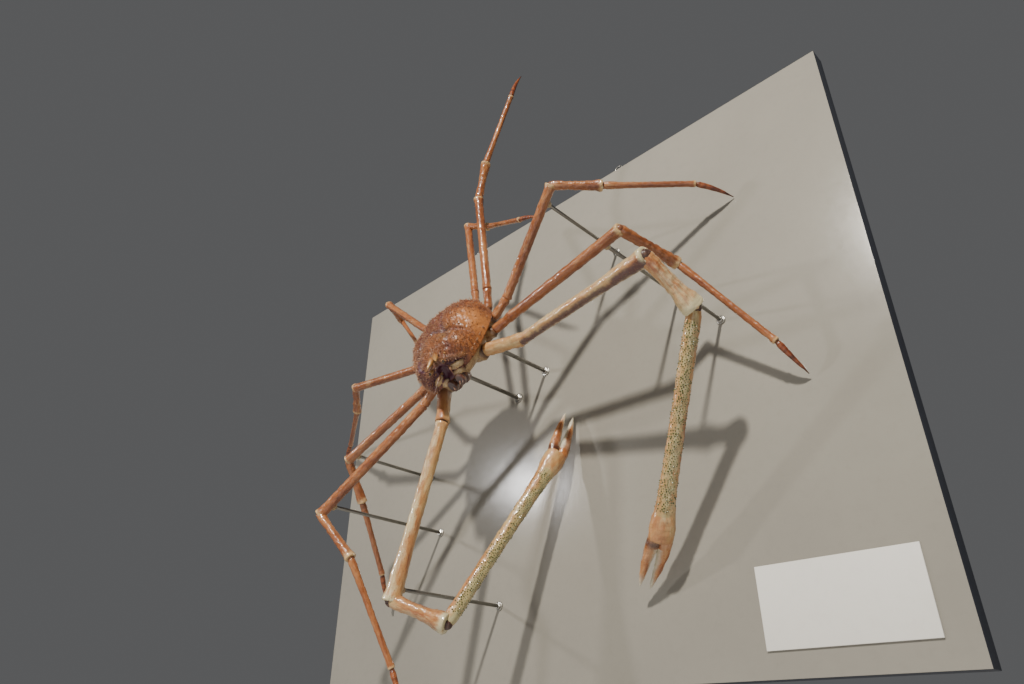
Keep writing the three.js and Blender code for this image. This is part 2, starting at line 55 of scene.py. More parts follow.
FINGER_SPREAD, FINGER_BOW = 15, 4

# Camera and room


def set_camera():
    """Stands low and to the right of the board, looking up at the crab."""
    camera = bpy.data.objects.new("camera", bpy.data.cameras.new("camera"))
    bpy.context.scene.collection.objects.link(camera)
    right = Vector((0.711113, 0.703057, 0.005401))
    up = Vector((0.338056, -0.348645, 0.874165))
    back = right.cross(up)
    turn = Matrix((right, up, back)).transposed()
    camera.matrix_world = Matrix.Translation((1.61957, -1.84864, -1.04006)) @ turn.to_4x4()
    camera.data.sensor_width = 36
    camera.data.lens = 25.253
    camera.data.clip_start = 0.02
    bpy.context.scene.camera = camera


def add_light(name, place, aim, size, power, colour):
    """A soft square lamp that faces the point `aim`."""
    lamp = bpy.data.lights.new(name, "AREA")
    lamp.size = size
    lamp.energy = power
    lamp.color = colour
    light = bpy.data.objects.new(name, lamp)
    bpy.context.scene.collection.objects.link(light)
    light.location = place
    light.rotation_euler = (Vector(aim) - Vector(place)).to_track_quat("-Z", "Y").to_euler()


def set_room():
    """A plain pale floor far below the board, pale air and soft studio lamps."""
    add_light("key_lamp", (2.3, -6.0, 4.6), (0.0, -0.2, 0.0), 0.36, 880, (1, 0.95, 0.86))
    add_light("glow_lamp", (-3.3, -3.5, 1.0), (-0.1, -0.1, -0.1), 0.24, 78, (1, 0.98, 0.97))
    add_light("low_lamp", (2.6, -2.8, -1.6), (-0.1, -0.4, 0.0), 1.6, 7, (0.90, 0.93, 1))
    world = bpy.data.worlds.new("pale_air")
    world.use_nodes = True
    world.node_tree.nodes["Background"].inputs["Color"].default_value = (0.80, 0.81, 0.83, 1)
    world.node_tree.nodes["Background"].inputs["Strength"].default_value = 0.13
    bpy.context.scene.world = world
    mesh = bpy.data.meshes.new("floor")
    reach, low = 14.0, -2.6
    mesh.from_pydata([(-reach, -reach, low), (reach, -reach, low), (reach, reach, low),
                      (-reach, reach, low)], [], [(0, 1, 2, 3)])
    floor = bpy.data.objects.new("floor", mesh)
    bpy.context.scene.collection.objects.link(floor)
    pale = bpy.data.materials.new("floor_paint")
    pale.use_nodes = True
    pale.node_tree.nodes["Principled BSDF"].inputs["Base Color"].default_value = (0.7, 0.7, 0.69, 1)
    pale.node_tree.nodes["Principled BSDF"].inputs["Roughness"].default_value = 0.8
    mesh.materials.append(pale)


# Finishes


class Finish:
    """Builds one node material, a step at a time."""

    def __init__(self, name):
        self.material = bpy.data.materials.new(name)
        self.material.use_nodes = True
        self.tree = self.material.node_tree
        self.shader = self.tree.nodes["Principled BSDF"]
        self.place = self.node("ShaderNodeTexCoord").outputs["Object"]
        self.along_shell = self.node("ShaderNodeAttribute", attribute_name="lie").outputs["Vector"]

    def node(self, kind, **settings):
        made = self.tree.nodes.new(kind)
        for key, value in settings.items():
            setattr(made, key, value)
        return made

    def join(self, source, target):
        self.tree.links.new(source, target)

    def noise(self, scale, detail=4.0, rough=0.55, warp=0.0, where=None):
        made = self.node("ShaderNodeTexNoise")
        made.inputs["Scale"].default_value = scale
        made.inputs["Detail"].default_value = detail
        made.inputs["Roughness"].default_value = rough
        made.inputs["Distortion"].default_value = warp
        self.join(where or self.place, made.inputs["Vector"])
        return made.outputs["Fac"]

    def cells(self, scale, where=None):
        made = self.node("ShaderNodeTexVoronoi")
        made.inputs["Scale"].default_value = scale
        self.join(where or self.place, made.inputs["Vector"])
        return made.outputs["Distance"]

    def attribute(self, name):
        return self.node("ShaderNodeAttribute", attribute_name=name).outputs["Fac"]

    def span(self, value, low, high, to_low, to_high):
        made = self.node("ShaderNodeMapRange")
        for slot, number in zip(("From Min", "From Max", "To Min", "To Max"),
                                (low, high, to_low, to_high)):
            made.inputs[slot].default_value = number
        self.join(value, made.inputs["Value"])
        return made.outputs["Result"]

    def maths(self, operation, first, second):
        made = self.node("ShaderNodeMath", operation=operation)
        for slot, value in enumerate((first, second)):
            if isinstance(value, (int, float)):
                made.inputs[slot].default_value = value
            else:
                self.join(value, made.inputs[slot])
        return made.outputs[0]

    def ramp(self, value, stops):
        made = self.node("ShaderNodeValToRGB")
        band = made.color_ramp
        for _ in stops[2:]:
            band.elements.new(0.5)
        for element, (at, colour) in zip(band.elements, stops):
            element.position = at
            element.color = (*colour, 1)
        self.join(value, made.inputs["Fac"])
        return made.outputs["Color"]

    def mix(self, share, first, second, blend="MIX"):
        made = self.node("ShaderNodeMix", data_type="RGBA", blend_type=blend)
        if isinstance(share, (int, float)):
            made.inputs["Factor"].default_value = share
        else:
            self.join(share, made.inputs["Factor"])
        for slot, value in (("A", first), ("B", second)):
            socket = next(s for s in made.inputs if s.name == slot and s.type == "RGBA")
            if isinstance(value, tuple):
                socket.default_value = (*value, 1)
            else:
                self.join(value, socket)
        return next(s for s in made.outputs if s.type == "RGBA")

    def bump(self, heights):
        """Chains (height, depth in metres, strength) into one bumpy normal."""
        previous = None
        for height, depth, strength in heights:
            made = self.node("ShaderNodeBump")
            made.inputs["Distance"].default_value = depth
            made.inputs["Strength"].default_value = strength
            self.join(height, made.inputs["Height"])
            if previous is not None:
                self.join(previous, made.inputs["Normal"])
            previous = made.outputs["Normal"]
        self.join(previous, self.shader.inputs["Normal"])

    def colour(self, value):
        self.join(value, self.shader.inputs["Base Color"])

    def gloss(self, value):
        self.join(value, self.shader.inputs["Roughness"])

    def varnish(self, weight, rough):
        self.shader.inputs["Coat Weight"].default_value = weight
        self.shader.inputs["Coat Roughness"].default_value = rough


def shell_finish(name, deep, middle, light, pale, blotch=26, pits=(0.05, 0.02, 0.01), pit_scale=95,
                 pit_share=0.4, coat=0.6, rough=(0.26, 0.46), granule=420, streaked=False,
                 shadow=None, olive=None):
    """Varnished crab shell: blotches or lengthwise streaks, freckles, pits and pale joints."""
    f = Finish(name)
    ground = f.along_shell if streaked else f.place
    broad = f.noise(blotch, detail=5, rough=0.6, warp=0.5, where=ground)
    fine = f.noise(blotch * 6, detail=3, rough=0.6, where=ground)
    blend = f.maths("ADD", f.maths("MULTIPLY", broad, 0.7), f.maths("MULTIPLY", fine, 0.3))
    shade = f.ramp(blend, [(0.34, deep), (0.49, middle), (0.64, light)])
    edge = f.maths("ADD", f.attribute("pale"), f.span(fine, 0.3, 0.7, -0.22, 0.22))
    shade = f.mix(f.span(edge, 0.2, 0.9, 0, 1), shade, pale)
    if olive:
        shade = f.mix(f.span(f.attribute("olive"), 0, 1, 0, 0.85), shade, olive)
    # The dark mark darkens towards the shadow colour: the shell's own dark parts, and painted shade
    # where a piece marks it.
    shade = f.mix(f.span(f.attribute("dark"), 0, 1, 0, 0.9), shade, shadow or deep)
    hole = f.span(f.cells(pit_scale, ground), 0.10, 0.2, pit_share, 0)
    shade = f.mix(hole, shade, pits)
    freckle = f.span(f.noise(blotch * 22, detail=2), 0.56, 0.7, 0, 0.3)
    shade = f.mix(freckle, shade, tuple(0.45 * c for c in deep))
    f.colour(shade)
    f.gloss(f.span(f.noise(60, detail=4), 0.3, 0.7, *rough))
    f.bump([(f.noise(140, detail=4), 0.0012, 0.4),
            (f.cells(granule), 0.0006, 0.5),
            (f.noise(1500, detail=2), 0.0002, 0.3)])
    f.varnish(coat, 0.1)
    return f.material


def spine_finish(name, root, tip):
    """Shell spines: darker at the root, paler and glossier at the point."""
    f = Finish(name)
    grain = f.noise(300, detail=3)
    shade = f.mix(f.span(f.attribute("rise"), 0.1, 0.9, 0, 1), root, tip)
    f.colour(f.mix(f.span(grain, 0.4, 0.75, 0, 0.5), shade, tuple(0.4 * c for c in root)))
    f.gloss(f.span(grain, 0.3, 0.7, 0.22, 0.42))
    f.bump([(f.noise(900, detail=2), 0.0003, 0.3)])
    f.varnish(0.8, 0.07)
    return f.material


def ringed_finish(name, deep, middle, light):
    """The last segment of a leg: fine dark rings of short worn bristle, black tip."""
    f = Finish(name)
    rings = f.maths("SINE", f.maths("MULTIPLY", f.attribute("along"), 260.0), 0)
    broad = f.noise(38, detail=5, warp=0.6)
    shade = f.ramp(broad, [(0.32, deep), (0.5, middle), (0.68, light)])
    shade = f.mix(f.span(rings, 0.0, 1.0, 0, 0.4), shade, tuple(0.5 * c for c in deep))
    shade = f.mix(f.span(f.attribute("dark"), 0.1, 1, 0, 0.95), shade, (0.018, 0.010, 0.008))
    f.colour(shade)
    f.gloss(f.span(f.noise(90, detail=3), 0.3, 0.7, 0.28, 0.5))
    f.bump([(rings, 0.0006, 0.5), (f.cells(600), 0.0005, 0.5), (f.noise(1200), 0.0003, 0.4)])
    f.varnish(0.35, 0.15)
    return f.material


def metal_finish(name, base, worn, rough, grain=(180, 180, 8)):
    """Drawn steel: fine lengthwise grain, dull patches and a few dark specks."""
    f = Finish(name)
    stretch = f.node("ShaderNodeMapping")
    stretch.inputs["Scale"].default_value = grain
    f.join(f.place, stretch.inputs["Vector"])
    drawn = f.noise(14, detail=5, where=stretch.outputs["Vector"])
    patch = f.noise(22, detail=4)
    shade = f.mix(f.span(drawn, 0.3, 0.7, 0, 1), base, worn)
    f.colour(f.mix(f.span(patch, 0.55, 0.75, 0, 0.5), shade, tuple(0.45 * c for c in base)))
    f.gloss(f.span(patch, 0.3, 0.7, rough - 0.08, rough + 0.12))
    f.bump([(drawn, 0.0002, 0.3)])
    f.shader.inputs["Metallic"].default_value = 1
    return f.material


def paint_finish(name, base, second, rough, grain=700):
    """Rolled satin paint: faint orange peel, soft drifts of tone and small scuffs."""
    f = Finish(name)
    drift = f.noise(1.7, detail=6, rough=0.6)
    dust = f.noise(34, detail=5, rough=0.65)
    shade = f.mix(f.span(drift, 0.3, 0.7, 0, 1), base, second)
    shade = f.mix(f.span(dust, 0.5, 0.8, 0, 0.18), shade, tuple(0.72 * c for c in base))
    scuff = f.span(f.cells(9), 0.0, 0.025, 0.4, 0)
    f.colour(f.mix(scuff, shade, tuple(0.8 * c for c in second)))
    f.gloss(f.span(dust, 0.3, 0.7, rough - 0.02, rough + 0.03))
    f.bump([(f.noise(grain, detail=3), 0.0003, 0.4), (f.noise(6, detail=3), 0.0015, 0.08)])
    f.shader.inputs["Specular IOR Level"].default_value = 0.35
    return f.material


def finger_finish(name):
    """Claw fingers: orange-brown, dark at the root, with worn cream tips."""
    f = Finish(name)
    broad = f.noise(30, detail=5, rough=0.6, warp=0.5, where=f.along_shell)
    shade = f.ramp(broad, [(0.32, (0.19, 0.045, 0.014)), (0.5, (0.42, 0.145, 0.040)),
                           (0.66, (0.56, 0.29, 0.11))])
    shade = f.mix(f.attribute("dark"), shade, (0.055, 0.014, 0.010))
    shade = f.mix(f.attribute("pale"), shade, (0.66, 0.60, 0.45))
    f.colour(shade)
    f.gloss(f.span(f.noise(90, detail=3), 0.3, 0.7, 0.2, 0.42))
    f.bump([(f.noise(160, detail=4), 0.001, 0.45), (f.cells(520), 0.0005, 0.5)])
    f.varnish(0.6, 0.1)
    return f.material


CARAPACE = shell_finish("carapace_varnish", (0.070, 0.014, 0.004), (0.19, 0.052, 0.013),
                        (0.35, 0.118, 0.030), (0.45, 0.170, 0.046), blotch=17,
                        pits=(0.030, 0.006, 0.003), pit_scale=58, pit_share=0.9, granule=300,
                        shadow=(0.056, 0.011, 0.034), olive=(0.25, 0.150, 0.040), coat=0.16,
                        rough=(0.38, 0.58))
LEG = shell_finish("leg_varnish", (0.150, 0.036, 0.012), (0.31, 0.100, 0.031),
                   (0.45, 0.19, 0.068), (0.60, 0.39, 0.18), blotch=24, streaked=True,
                   shadow=(0.075, 0.020, 0.014))
CLAW = shell_finish("claw_varnish", (0.34, 0.110, 0.038), (0.52, 0.26, 0.095),
                    (0.62, 0.44, 0.20), (0.62, 0.54, 0.32), blotch=20, streaked=True,
                    shadow=(0.045, 0.009, 0.030), olive=(0.34, 0.33, 0.13), pit_share=0.3)
COLLAR = shell_finish("collar_cream", (0.42, 0.24, 0.10), (0.58, 0.42, 0.22), (0.68, 0.58, 0.36),
                      (0.72, 0.64, 0.43), blotch=34, pit_share=0.2)
TAN = shell_finish("underside_tan", (0.19, 0.085, 0.028), (0.34, 0.19, 0.083),
                   (0.48, 0.33, 0.16), (0.56, 0.41, 0.21), blotch=34, coat=0.5,
                   shadow=(0.045, 0.018, 0.012))
MOUTH = shell_finish("mouth_brown", (0.035, 0.010, 0.010), (0.12, 0.040, 0.030),
                     (0.24, 0.11, 0.055), (0.36, 0.20, 0.09), blotch=40, coat=0.8,
                     shadow=(0.020, 0.006, 0.010))
MEMBRANE = shell_finish("joint_skin", (0.026, 0.010, 0.010), (0.060, 0.024, 0.018),
                        (0.13, 0.06, 0.036), (0.13, 0.06, 0.036), blotch=60, coat=0.3,
                        rough=(0.38, 0.6))
LEG_SKIN = shell_finish("leg_joint_skin", (0.07, 0.018, 0.008), (0.17, 0.052, 0.018),
                        (0.30, 0.12, 0.045), (0.30, 0.12, 0.045), blotch=60, coat=0.3,
                        rough=(0.38, 0.6))
TOE = ringed_finish("toe_rings", (0.070, 0.013, 0.005), (0.22, 0.048, 0.013), (0.36, 0.11, 0.03))
FINGER = finger_finish("finger_varnish")
SPINE = spine_finish("spine_varnish", (0.13, 0.028, 0.010), (0.60, 0.32, 0.17))
HORN = spine_finish("horn_varnish", (0.30, 0.115, 0.030), (0.50, 0.29, 0.10))
KNOB = spine_finish("knob_olive", (0.20, 0.20, 0.06), (0.035, 0.045, 0.012))
GLUE = shell_finish("glue_tan", (0.30, 0.20, 0.10), (0.45, 0.34, 0.19), (0.55, 0.45, 0.28),
                    (0.55, 0.45, 0.28), coat=0.2)
STEEL = metal_finish("rod_steel", (0.20, 0.19, 0.17), (0.32, 0.31, 0.28), 0.42)
BRIGHT = metal_finish("nut_zinc", (0.36, 0.35, 0.32), (0.58, 0.56, 0.52), 0.3, (30, 30, 30))
BOARD = paint_finish("board_paint", (0.280, 0.262, 0.225), (0.312, 0.293, 0.252), 0.18)
# The board's thin sides: near-black blue, painted shade with a blue cast.
BOARD_SIDE_SHADE = paint_finish("board_edge_paint", (0.030, 0.034, 0.048), (0.045, 0.05, 0.066), 0.5)
PLATE = paint_finish("plate_face", (0.74, 0.715, 0.66), (0.78, 0.76, 0.71), 0.5, grain=1200)


def eye_finish():
    f = Finish("eye_gloss")
    ring = f.attribute("pale")
    tan = f.ramp(f.noise(240, detail=3), [(0.35, (0.20, 0.08, 0.025)), (0.62, (0.40, 0.22, 0.08))])
    f.colour(f.mix(f.span(ring, 0.3, 0.6, 0, 1), (0.035, 0.016, 0.010), tan))
    f.bump([(f.cells(1800), 0.0002, 0.4)])
    f.gloss(f.span(ring, 0, 1, 0.12, 0.45))
    f.varnish(0.8, 0.05)
    return f.material


EYE = eye_finish()

# Places on the crab

CARAPACE_LENGTH = 375
BODY_CENTRE = np.array((-60.0, -472.0, 152.0))
ROLL, PITCH = radians(21), radians(23)
TO_LEFT = np.array((cos(ROLL), 0, sin(ROLL)))
TO_FRONT = np.array((cos(PITCH) * sin(ROLL), -sin(PITCH), -cos(PITCH) * cos(ROLL)))
TO_BACK = np.cross(TO_FRONT, TO_LEFT)
SEAM_FRONT, SEAM_REAR, UNDERSIDE_LEVEL = -50, -28, -100

LIMB_KINDS = {
    "cheliped": ((105, 76, -84), (140, 572, 190, 635, 160), 27),
    "leg_1": ((156, 14, -78), (80, 512, 205, 365, 120), 19),
    "leg_2": ((162, -46, -64), (80, 407, 170, 300, 130), 18),
    "leg_3": ((150, -106, -45), (75, 430, 158, 345, 160), 17.5),
    "leg_4": ((104, -158, -24), (75, 400, 140, 255, 120), 16),
}
POSE = {
    "cheliped_left": ((2, -16), (-1, 11), (-68, -46), (-120, -18), (-135, -22)),
    "cheliped_right": ((-81, 8), (-102, 6), (-25, -28), (70, -26), (82, -17)),
    "leg_1_left": ((24, -7), (5, 8), (-41, -65), (-56, -21), (-65, -40)),
    "leg_1_right": ((-135, 5), (-131, 19), (-52, -18), (-74, -21), (-71, -18)),
    "leg_2_left": ((49, -6), (45, 11), (-5, -40), (-3, -40), (-28, -49)),
    "leg_2_right": ((-149, -1), (-153, 7), (-100, -35), (-109, -36), (-108, -34)),
    "leg_3_left": ((88, 9), (96, 2), (74, 3), (74, -7), (86, -18)),
    "leg_3_right": ((-167, 23), (171, -2), (-163, -37), (-175, -30), (-155, -26)),
    "leg_4_left": ((105, -5), (105, -6), (-30, 2), (-28, 11), (-27, 6)),
    "leg_4_right": ((124, 31), (140, -4), (175, -59), (-48, 8), (-50, 5)),
}
FINGER_SIDE = {"cheliped_left": (-0.66, -0.74, 0.11), "cheliped_right": (-0.35, -0.77, 0.53)}
LIMB_RODS = {"cheliped_left": 0.95, "cheliped_right": 0.94, "leg_1_left": 0.86,
             "leg_1_right": 0.92, "leg_2_left": 0.86, "leg_2_right": 0.92}
BODY_RODS = {"left": (20, 166), "right": (-120, 101)}


def unit(v):
    v = np.asarray(v, float)
    return v / np.linalg.norm(v, axis=-1, keepdims=True)


def on_body(left, forward, up):
    """A point (or many) given to the crab's left, forwards and up from its middle."""
    left, forward, up = np.broadcast_arrays(*(np.asarray(x, float) for x in (left, forward, up)))
    return (BODY_CENTRE + left[..., None] * TO_LEFT + forward[..., None] * TO_FRONT
            + up[..., None] * TO_BACK)


def along_body(left, forward, up):
    return unit(on_body(left, forward, up) - BODY_CENTRE)


def headed(pair):
    a, o = radians(pair[0]), radians(pair[1])
    return np.array((cos(o) * cos(a), -sin(o), cos(o) * sin(a)))


def lumps(points, size, seed):
    """Smooth bumps from -1 to 1 over any points, `size` mm apart."""
    draw = np.random.default_rng(seed)
    ways = unit(draw.normal(size=(14, 3))) * (2 * pi / size) * draw.uniform(0.7, 1.5, (14, 1))
    return np.sin(np.asarray(points) @ ways.T + draw.uniform(0, 2 * pi, 14)).sum(-1) / 5.3


def smooth(stations, steps):
    """Rows between given rows, without overshoot; the first column is the distance."""
    table = np.array(stations, float)
    x, y = table[:, 0], table[:, 1:]
    h = np.diff(x)[:, None]
    slope = np.diff(y, axis=0) / h
    mean = (slope[:-1] * h[1:] + slope[1:] * h[:-1]) / (h[1:] + h[:-1])
    limit = 3 * np.minimum(abs(slope[:-1]), abs(slope[1:]))
    inner = np.where(slope[:-1] * slope[1:] > 0, np.sign(mean) * np.minimum(abs(mean), limit), 0)
    tangent = np.vstack([slope[:1], inner, slope[-1:]])
    even = np.linspace(x[0], x[-1], steps)
    at = np.unique(np.concatenate([even, x]))
    i = np.clip(np.searchsorted(x, at, side="right") - 1, 0, len(x) - 2)
    t = ((at - x[i]) / (x[i + 1] - x[i]))[:, None]
    span = (x[i + 1] - x[i])[:, None]
    values = ((2 * t**3 - 3 * t**2 + 1) * y[i] + (t**3 - 2 * t**2 + t) * span * tangent[i]
              + (-2 * t**3 + 3 * t**2) * y[i + 1] + (t**3 - t**2) * span * tangent[i + 1])
    return at, values


# Making pieces


def skin_faces(rings, sides):
    """Quads of a closed tube of rings, with a fan over each end."""
    k = np.arange(sides)
    nxt = (k + 1) % sides
    faces = []
    for i in range(rings - 1):
        low, high = i * sides, (i + 1) * sides
        faces += np.stack([low + k, low + nxt, high + nxt, high + k], 1).tolist()
    first, last = rings * sides, rings * sides + 1
    end = (rings - 1) * sides
    faces += np.stack([np.full(sides, first), nxt, k], 1).tolist()
    faces += np.stack([np.full(sides, last), end + k, end + nxt], 1).tolist()
    return faces


def make_piece(name, points, faces, finish, nodes=(), slot=None, smooth_faces=True, **marks):
    """One mesh in millimetres, in place, that rides on the mount."""
    mesh = bpy.data.meshes.new(name)
    mesh.from_pydata((np.asarray(points) * MM).tolist(), [], faces)
    mesh.update()
    mesh.polygons.foreach_set("use_smooth", [smooth_faces] * len(mesh.polygons))
    for key, values in marks.items():
        values = np.asarray(values, np.float32)
        vector = values.ndim == 2
        layer = mesh.attributes.new(key, "FLOAT_VECTOR" if vector else "FLOAT", "POINT")
        layer.data.foreach_set("vector" if vector else "value", values.ravel())
    mesh.materials.append(finish)
    piece = bpy.data.objects.new(name, mesh)
    bpy.context.scene.collection.objects.link(piece)
    return settle(piece, nodes, slot)


def settle(piece, nodes=(), slot=None):
    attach(piece, "root")
    if nodes:
        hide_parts(*nodes)
    if slot:
        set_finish(piece, slot)
    return piece


def radii(size, *rows):
    """Stations from rows of a distance and two radii, the radii as shares of one size."""
    return [(at, size * tall, size * wide) for at, tall, wide in rows]


def tube(centres, along, hint, tall, wide, sides, relief=None):
    """Rings round a path. Returns points, faces, and each point's distance share and turn."""
    count = len(centres)
    along = np.broadcast_to(along, (count, 3))
    up = unit(np.asarray(hint) - (along @ np.asarray(hint))[:, None] * along)
    across = np.cross(along, up)
    turn = 2 * pi * (np.arange(sides) + 0.5) / sides
    out = (up[:, None] * np.cos(turn)[:, None] * np.reshape(tall, (-1, 1, 1))
           + across[:, None] * np.sin(turn)[:, None] * np.reshape(wide, (-1, 1, 1)))
    points = centres[:, None] + out
    if relief is not None:
        points = points + unit(out) * relief(points)[..., None]
    ends = [points[0].mean(0), points[-1].mean(0)]
    share = np.repeat(np.linspace(0, 1, count), sides)
    return (np.vstack([points.reshape(-1, 3), ends]), skin_faces(count, sides),
            np.append(share, (0, 1)), np.append(np.tile(turn, count), (0, 0)))


# Spines, beads and knobs


def spine_tree(name, finish, sides=6, rings=3):
    """Scatters tapered spines over a surface, denser where its `spiny` mark is high."""
    tree = bpy.data.node_groups.new(name, "GeometryNodeTree")
    face = tree.interface
    face.new_socket(name="Geometry", in_out="INPUT", socket_type="NodeSocketGeometry")
    for label, kind in (("Density", "Float"), ("Spacing", "Float"), ("Height", "Float"),
                        ("Width", "Float"), ("Least", "Float"), ("Seed", "Int")):
        face.new_socket(name=label, in_out="INPUT", socket_type=f"NodeSocket{kind}")
    face.new_socket(name="Geometry", in_out="OUTPUT", socket_type="NodeSocketGeometry")

    def add(kind, inputs, **settings):
        made = tree.nodes.new(kind)
        for key, value in settings.items():
            setattr(made, key, value)
        for socket, value in inputs.items():
            if isinstance(value, bpy.types.NodeSocket):
                tree.links.new(value, made.inputs[socket])
            else:
                made.inputs[socket].default_value = value
        return made.outputs

    given = add("NodeGroupInput", {})
    mark = add("GeometryNodeInputNamedAttribute", {"Name": "spiny"}, data_type="FLOAT")
    scatter = add("GeometryNodeDistributePointsOnFaces",
                  {"Mesh": given["Geometry"], "Distance Min": given["Spacing"],
                   "Density Max": given["Density"], "Density Factor": mark["Attribute"],
                   "Seed": given["Seed"]}, distribute_method="POISSON")
    tip = add("ShaderNodeMath", {0: given["Width"], 1: 0.08}, operation="MULTIPLY")
    cone = add("GeometryNodeMeshCone",
               {"Vertices": sides, "Side Segments": rings, "Radius Bottom": given["Width"],
                "Radius Top": tip[0], "Depth": given["Height"]}, fill_type="NONE")
    place = add("GeometryNodeInputPosition", {})
    parts = add("ShaderNodeSeparateXYZ", {"Vector": place["Position"]})
    share = add("ShaderNodeMath", {0: parts["Z"], 1: given["Height"]}, operation="DIVIDE")
    rise = add("GeometryNodeStoreNamedAttribute",
               {"Name": "rise", "Geometry": cone["Mesh"], "Value": share[0]},
               data_type="FLOAT", domain="POINT")
    sink = add("ShaderNodeMath", {0: given["Height"], 1: -0.22}, operation="MULTIPLY")
    drop = add("ShaderNodeCombineXYZ", {"Z": sink[0]})
    lower = add("GeometryNodeTransform",
                {"Geometry": rise["Geometry"], "Translation": drop["Vector"]})
    spread = add("FunctionNodeRandomValue", {2: given["Least"], 3: 1.0, "Seed": given["Seed"]},
                 data_type="FLOAT")
    plant = add("GeometryNodeInstanceOnPoints",
                {"Points": scatter["Points"], "Instance": lower["Geometry"],
                 "Rotation": scatter["Rotation"], "Scale": spread[1]})
    real = add("GeometryNodeRealizeInstances", {"Geometry": plant["Instances"]})
    paint = add("GeometryNodeSetMaterial", {"Geometry": real["Geometry"], "Material": finish})
    add("NodeGroupOutput", {"Geometry": paint["Geometry"]})
    return tree


def grow(host, name, tree, **sizes):
    """Runs a spine tree over a finished piece and keeps the spines as their own mesh."""
    modifier = host.modifiers.new(name, "NODES")
    modifier.node_group = tree
    for item in tree.interface.items_tree:
        if item.item_type == "SOCKET" and item.in_out == "INPUT" and item.name in sizes:
            modifier[item.identifier] = sizes[item.name]
    graph = bpy.context.evaluated_depsgraph_get()
    mesh = bpy.data.meshes.new_from_object(host.evaluated_get(graph), depsgraph=graph)
    host.modifiers.remove(modifier)
    mesh.name = name
    mesh.polygons.foreach_set("use_smooth", [True] * len(mesh.polygons))
    piece = bpy.data.objects.new(name, mesh)
    bpy.context.scene.collection.objects.link(piece)
    return settle(piece, slot=host.get("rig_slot"))


# Carapace and underside

CARAPACE_PROFILE = (
    (-0.5, 0.11, 0.04), (-0.47, 0.22, 0.1), (-0.4, 0.33, 0.19), (-0.3, 0.4, 0.265),
    (-0.19, 0.445, 0.315), (-0.07, 0.455, 0.33), (0.05, 0.435, 0.33), (0.15, 0.4, 0.31),
    (0.24, 0.36, 0.285), (0.31, 0.325, 0.265), (0.365, 0.28, 0.245), (0.4, 0.225, 0.225),
    (0.425, 0.16, 0.205), (0.445, 0.085, 0.18))
UNDERSIDE_PROFILE = (
    (-0.44, 0.12, 0.3), (-0.38, 0.22, 0.55), (-0.26, 0.3, 0.8), (-0.1, 0.34, 1),
    (0.06, 0.34, 1), (0.18, 0.31, 0.95), (0.28, 0.25, 0.85), (0.36, 0.18, 0.7), (0.41, 0.11, 0.4))
REGIONS = ((0, 0.22, 0.11, 0.035), (0, -0.14, 0.1, 0.03), (0, -0.36, 0.08, 0.02),
           (0.28, -0.04, 0.16, 0.035), (-0.28, -0.04, 0.16, 0.035),
           (0.25, 0.31, 0.075, 0.04), (-0.25, 0.31, 0.075, 0.04))
# Rings of the hollow under the forehead: how far each draws in, and where it lies
FACE_HOLLOW = ((0.92, 0.4452), (0.85, 0.4435), (0.79, 0.439), (0.7, 0.427), (0.62, 0.412),
               (0.52, 0.4), (0.4, 0.392), (0.2, 0.388))


def seam_at(forward_share):
    """Height of the carapace's lower rim, which rises towards the rear."""
    t = np.clip((-np.asarray(forward_share) - 0.1) / 0.35, 0, 1)
    return SEAM_FRONT + (SEAM_REAR - SEAM_FRONT) * t * t * (3 - 2 * t)


def dome(points_left, points_forward):
    l, f = points_left / CARAPACE_LENGTH, points_forward / CARAPACE_LENGTH
    return sum(swell * CARAPACE_LENGTH * np.exp(-((l - x) ** 2 + (f - y) ** 2) / reach**2)
               for x, y, reach, swell in REGIONS)


def patch(left, forward, x, y, wide, long):
    """1 at the middle of a patch on either half of the carapace, falling off around it."""
    return np.exp(-(((abs(left) - x) / wide) ** 2 + ((forward - y) / long) ** 2))


def stripe(x, y, start, end, reach):
    """1 on a straight line between two places, falling to 0 `reach` mm away from it."""
    way = np.subtract(end, start).astype(float)
    t = np.clip(((x - start[0]) * way[0] + (y - start[1]) * way[1]) / (way @ way), 0, 1)
    away = np.hypot(x - start[0] - t * way[0], y - start[1] - t * way[1])
    return np.exp(-((away / reach) ** 2))


def furrows(left, forward):
    """How deep the grooves between the carapace's regions are, from 0 to 1."""
    x = abs(left)
    lines = (((92, 66), (150, 88), 8), ((60, 62), (92, 66), 9), ((0, 30), (60, 62), 8),
             ((72, 92), (66, 134), 8), ((66, 62), (72, 92), 9), ((52, 8), (60, 62), 7),
             ((50, -80), (52, 8), 8), ((0, -92), (50, -80), 7))
    return np.max([stripe(x, forward, *line) for line in lines], axis=0)


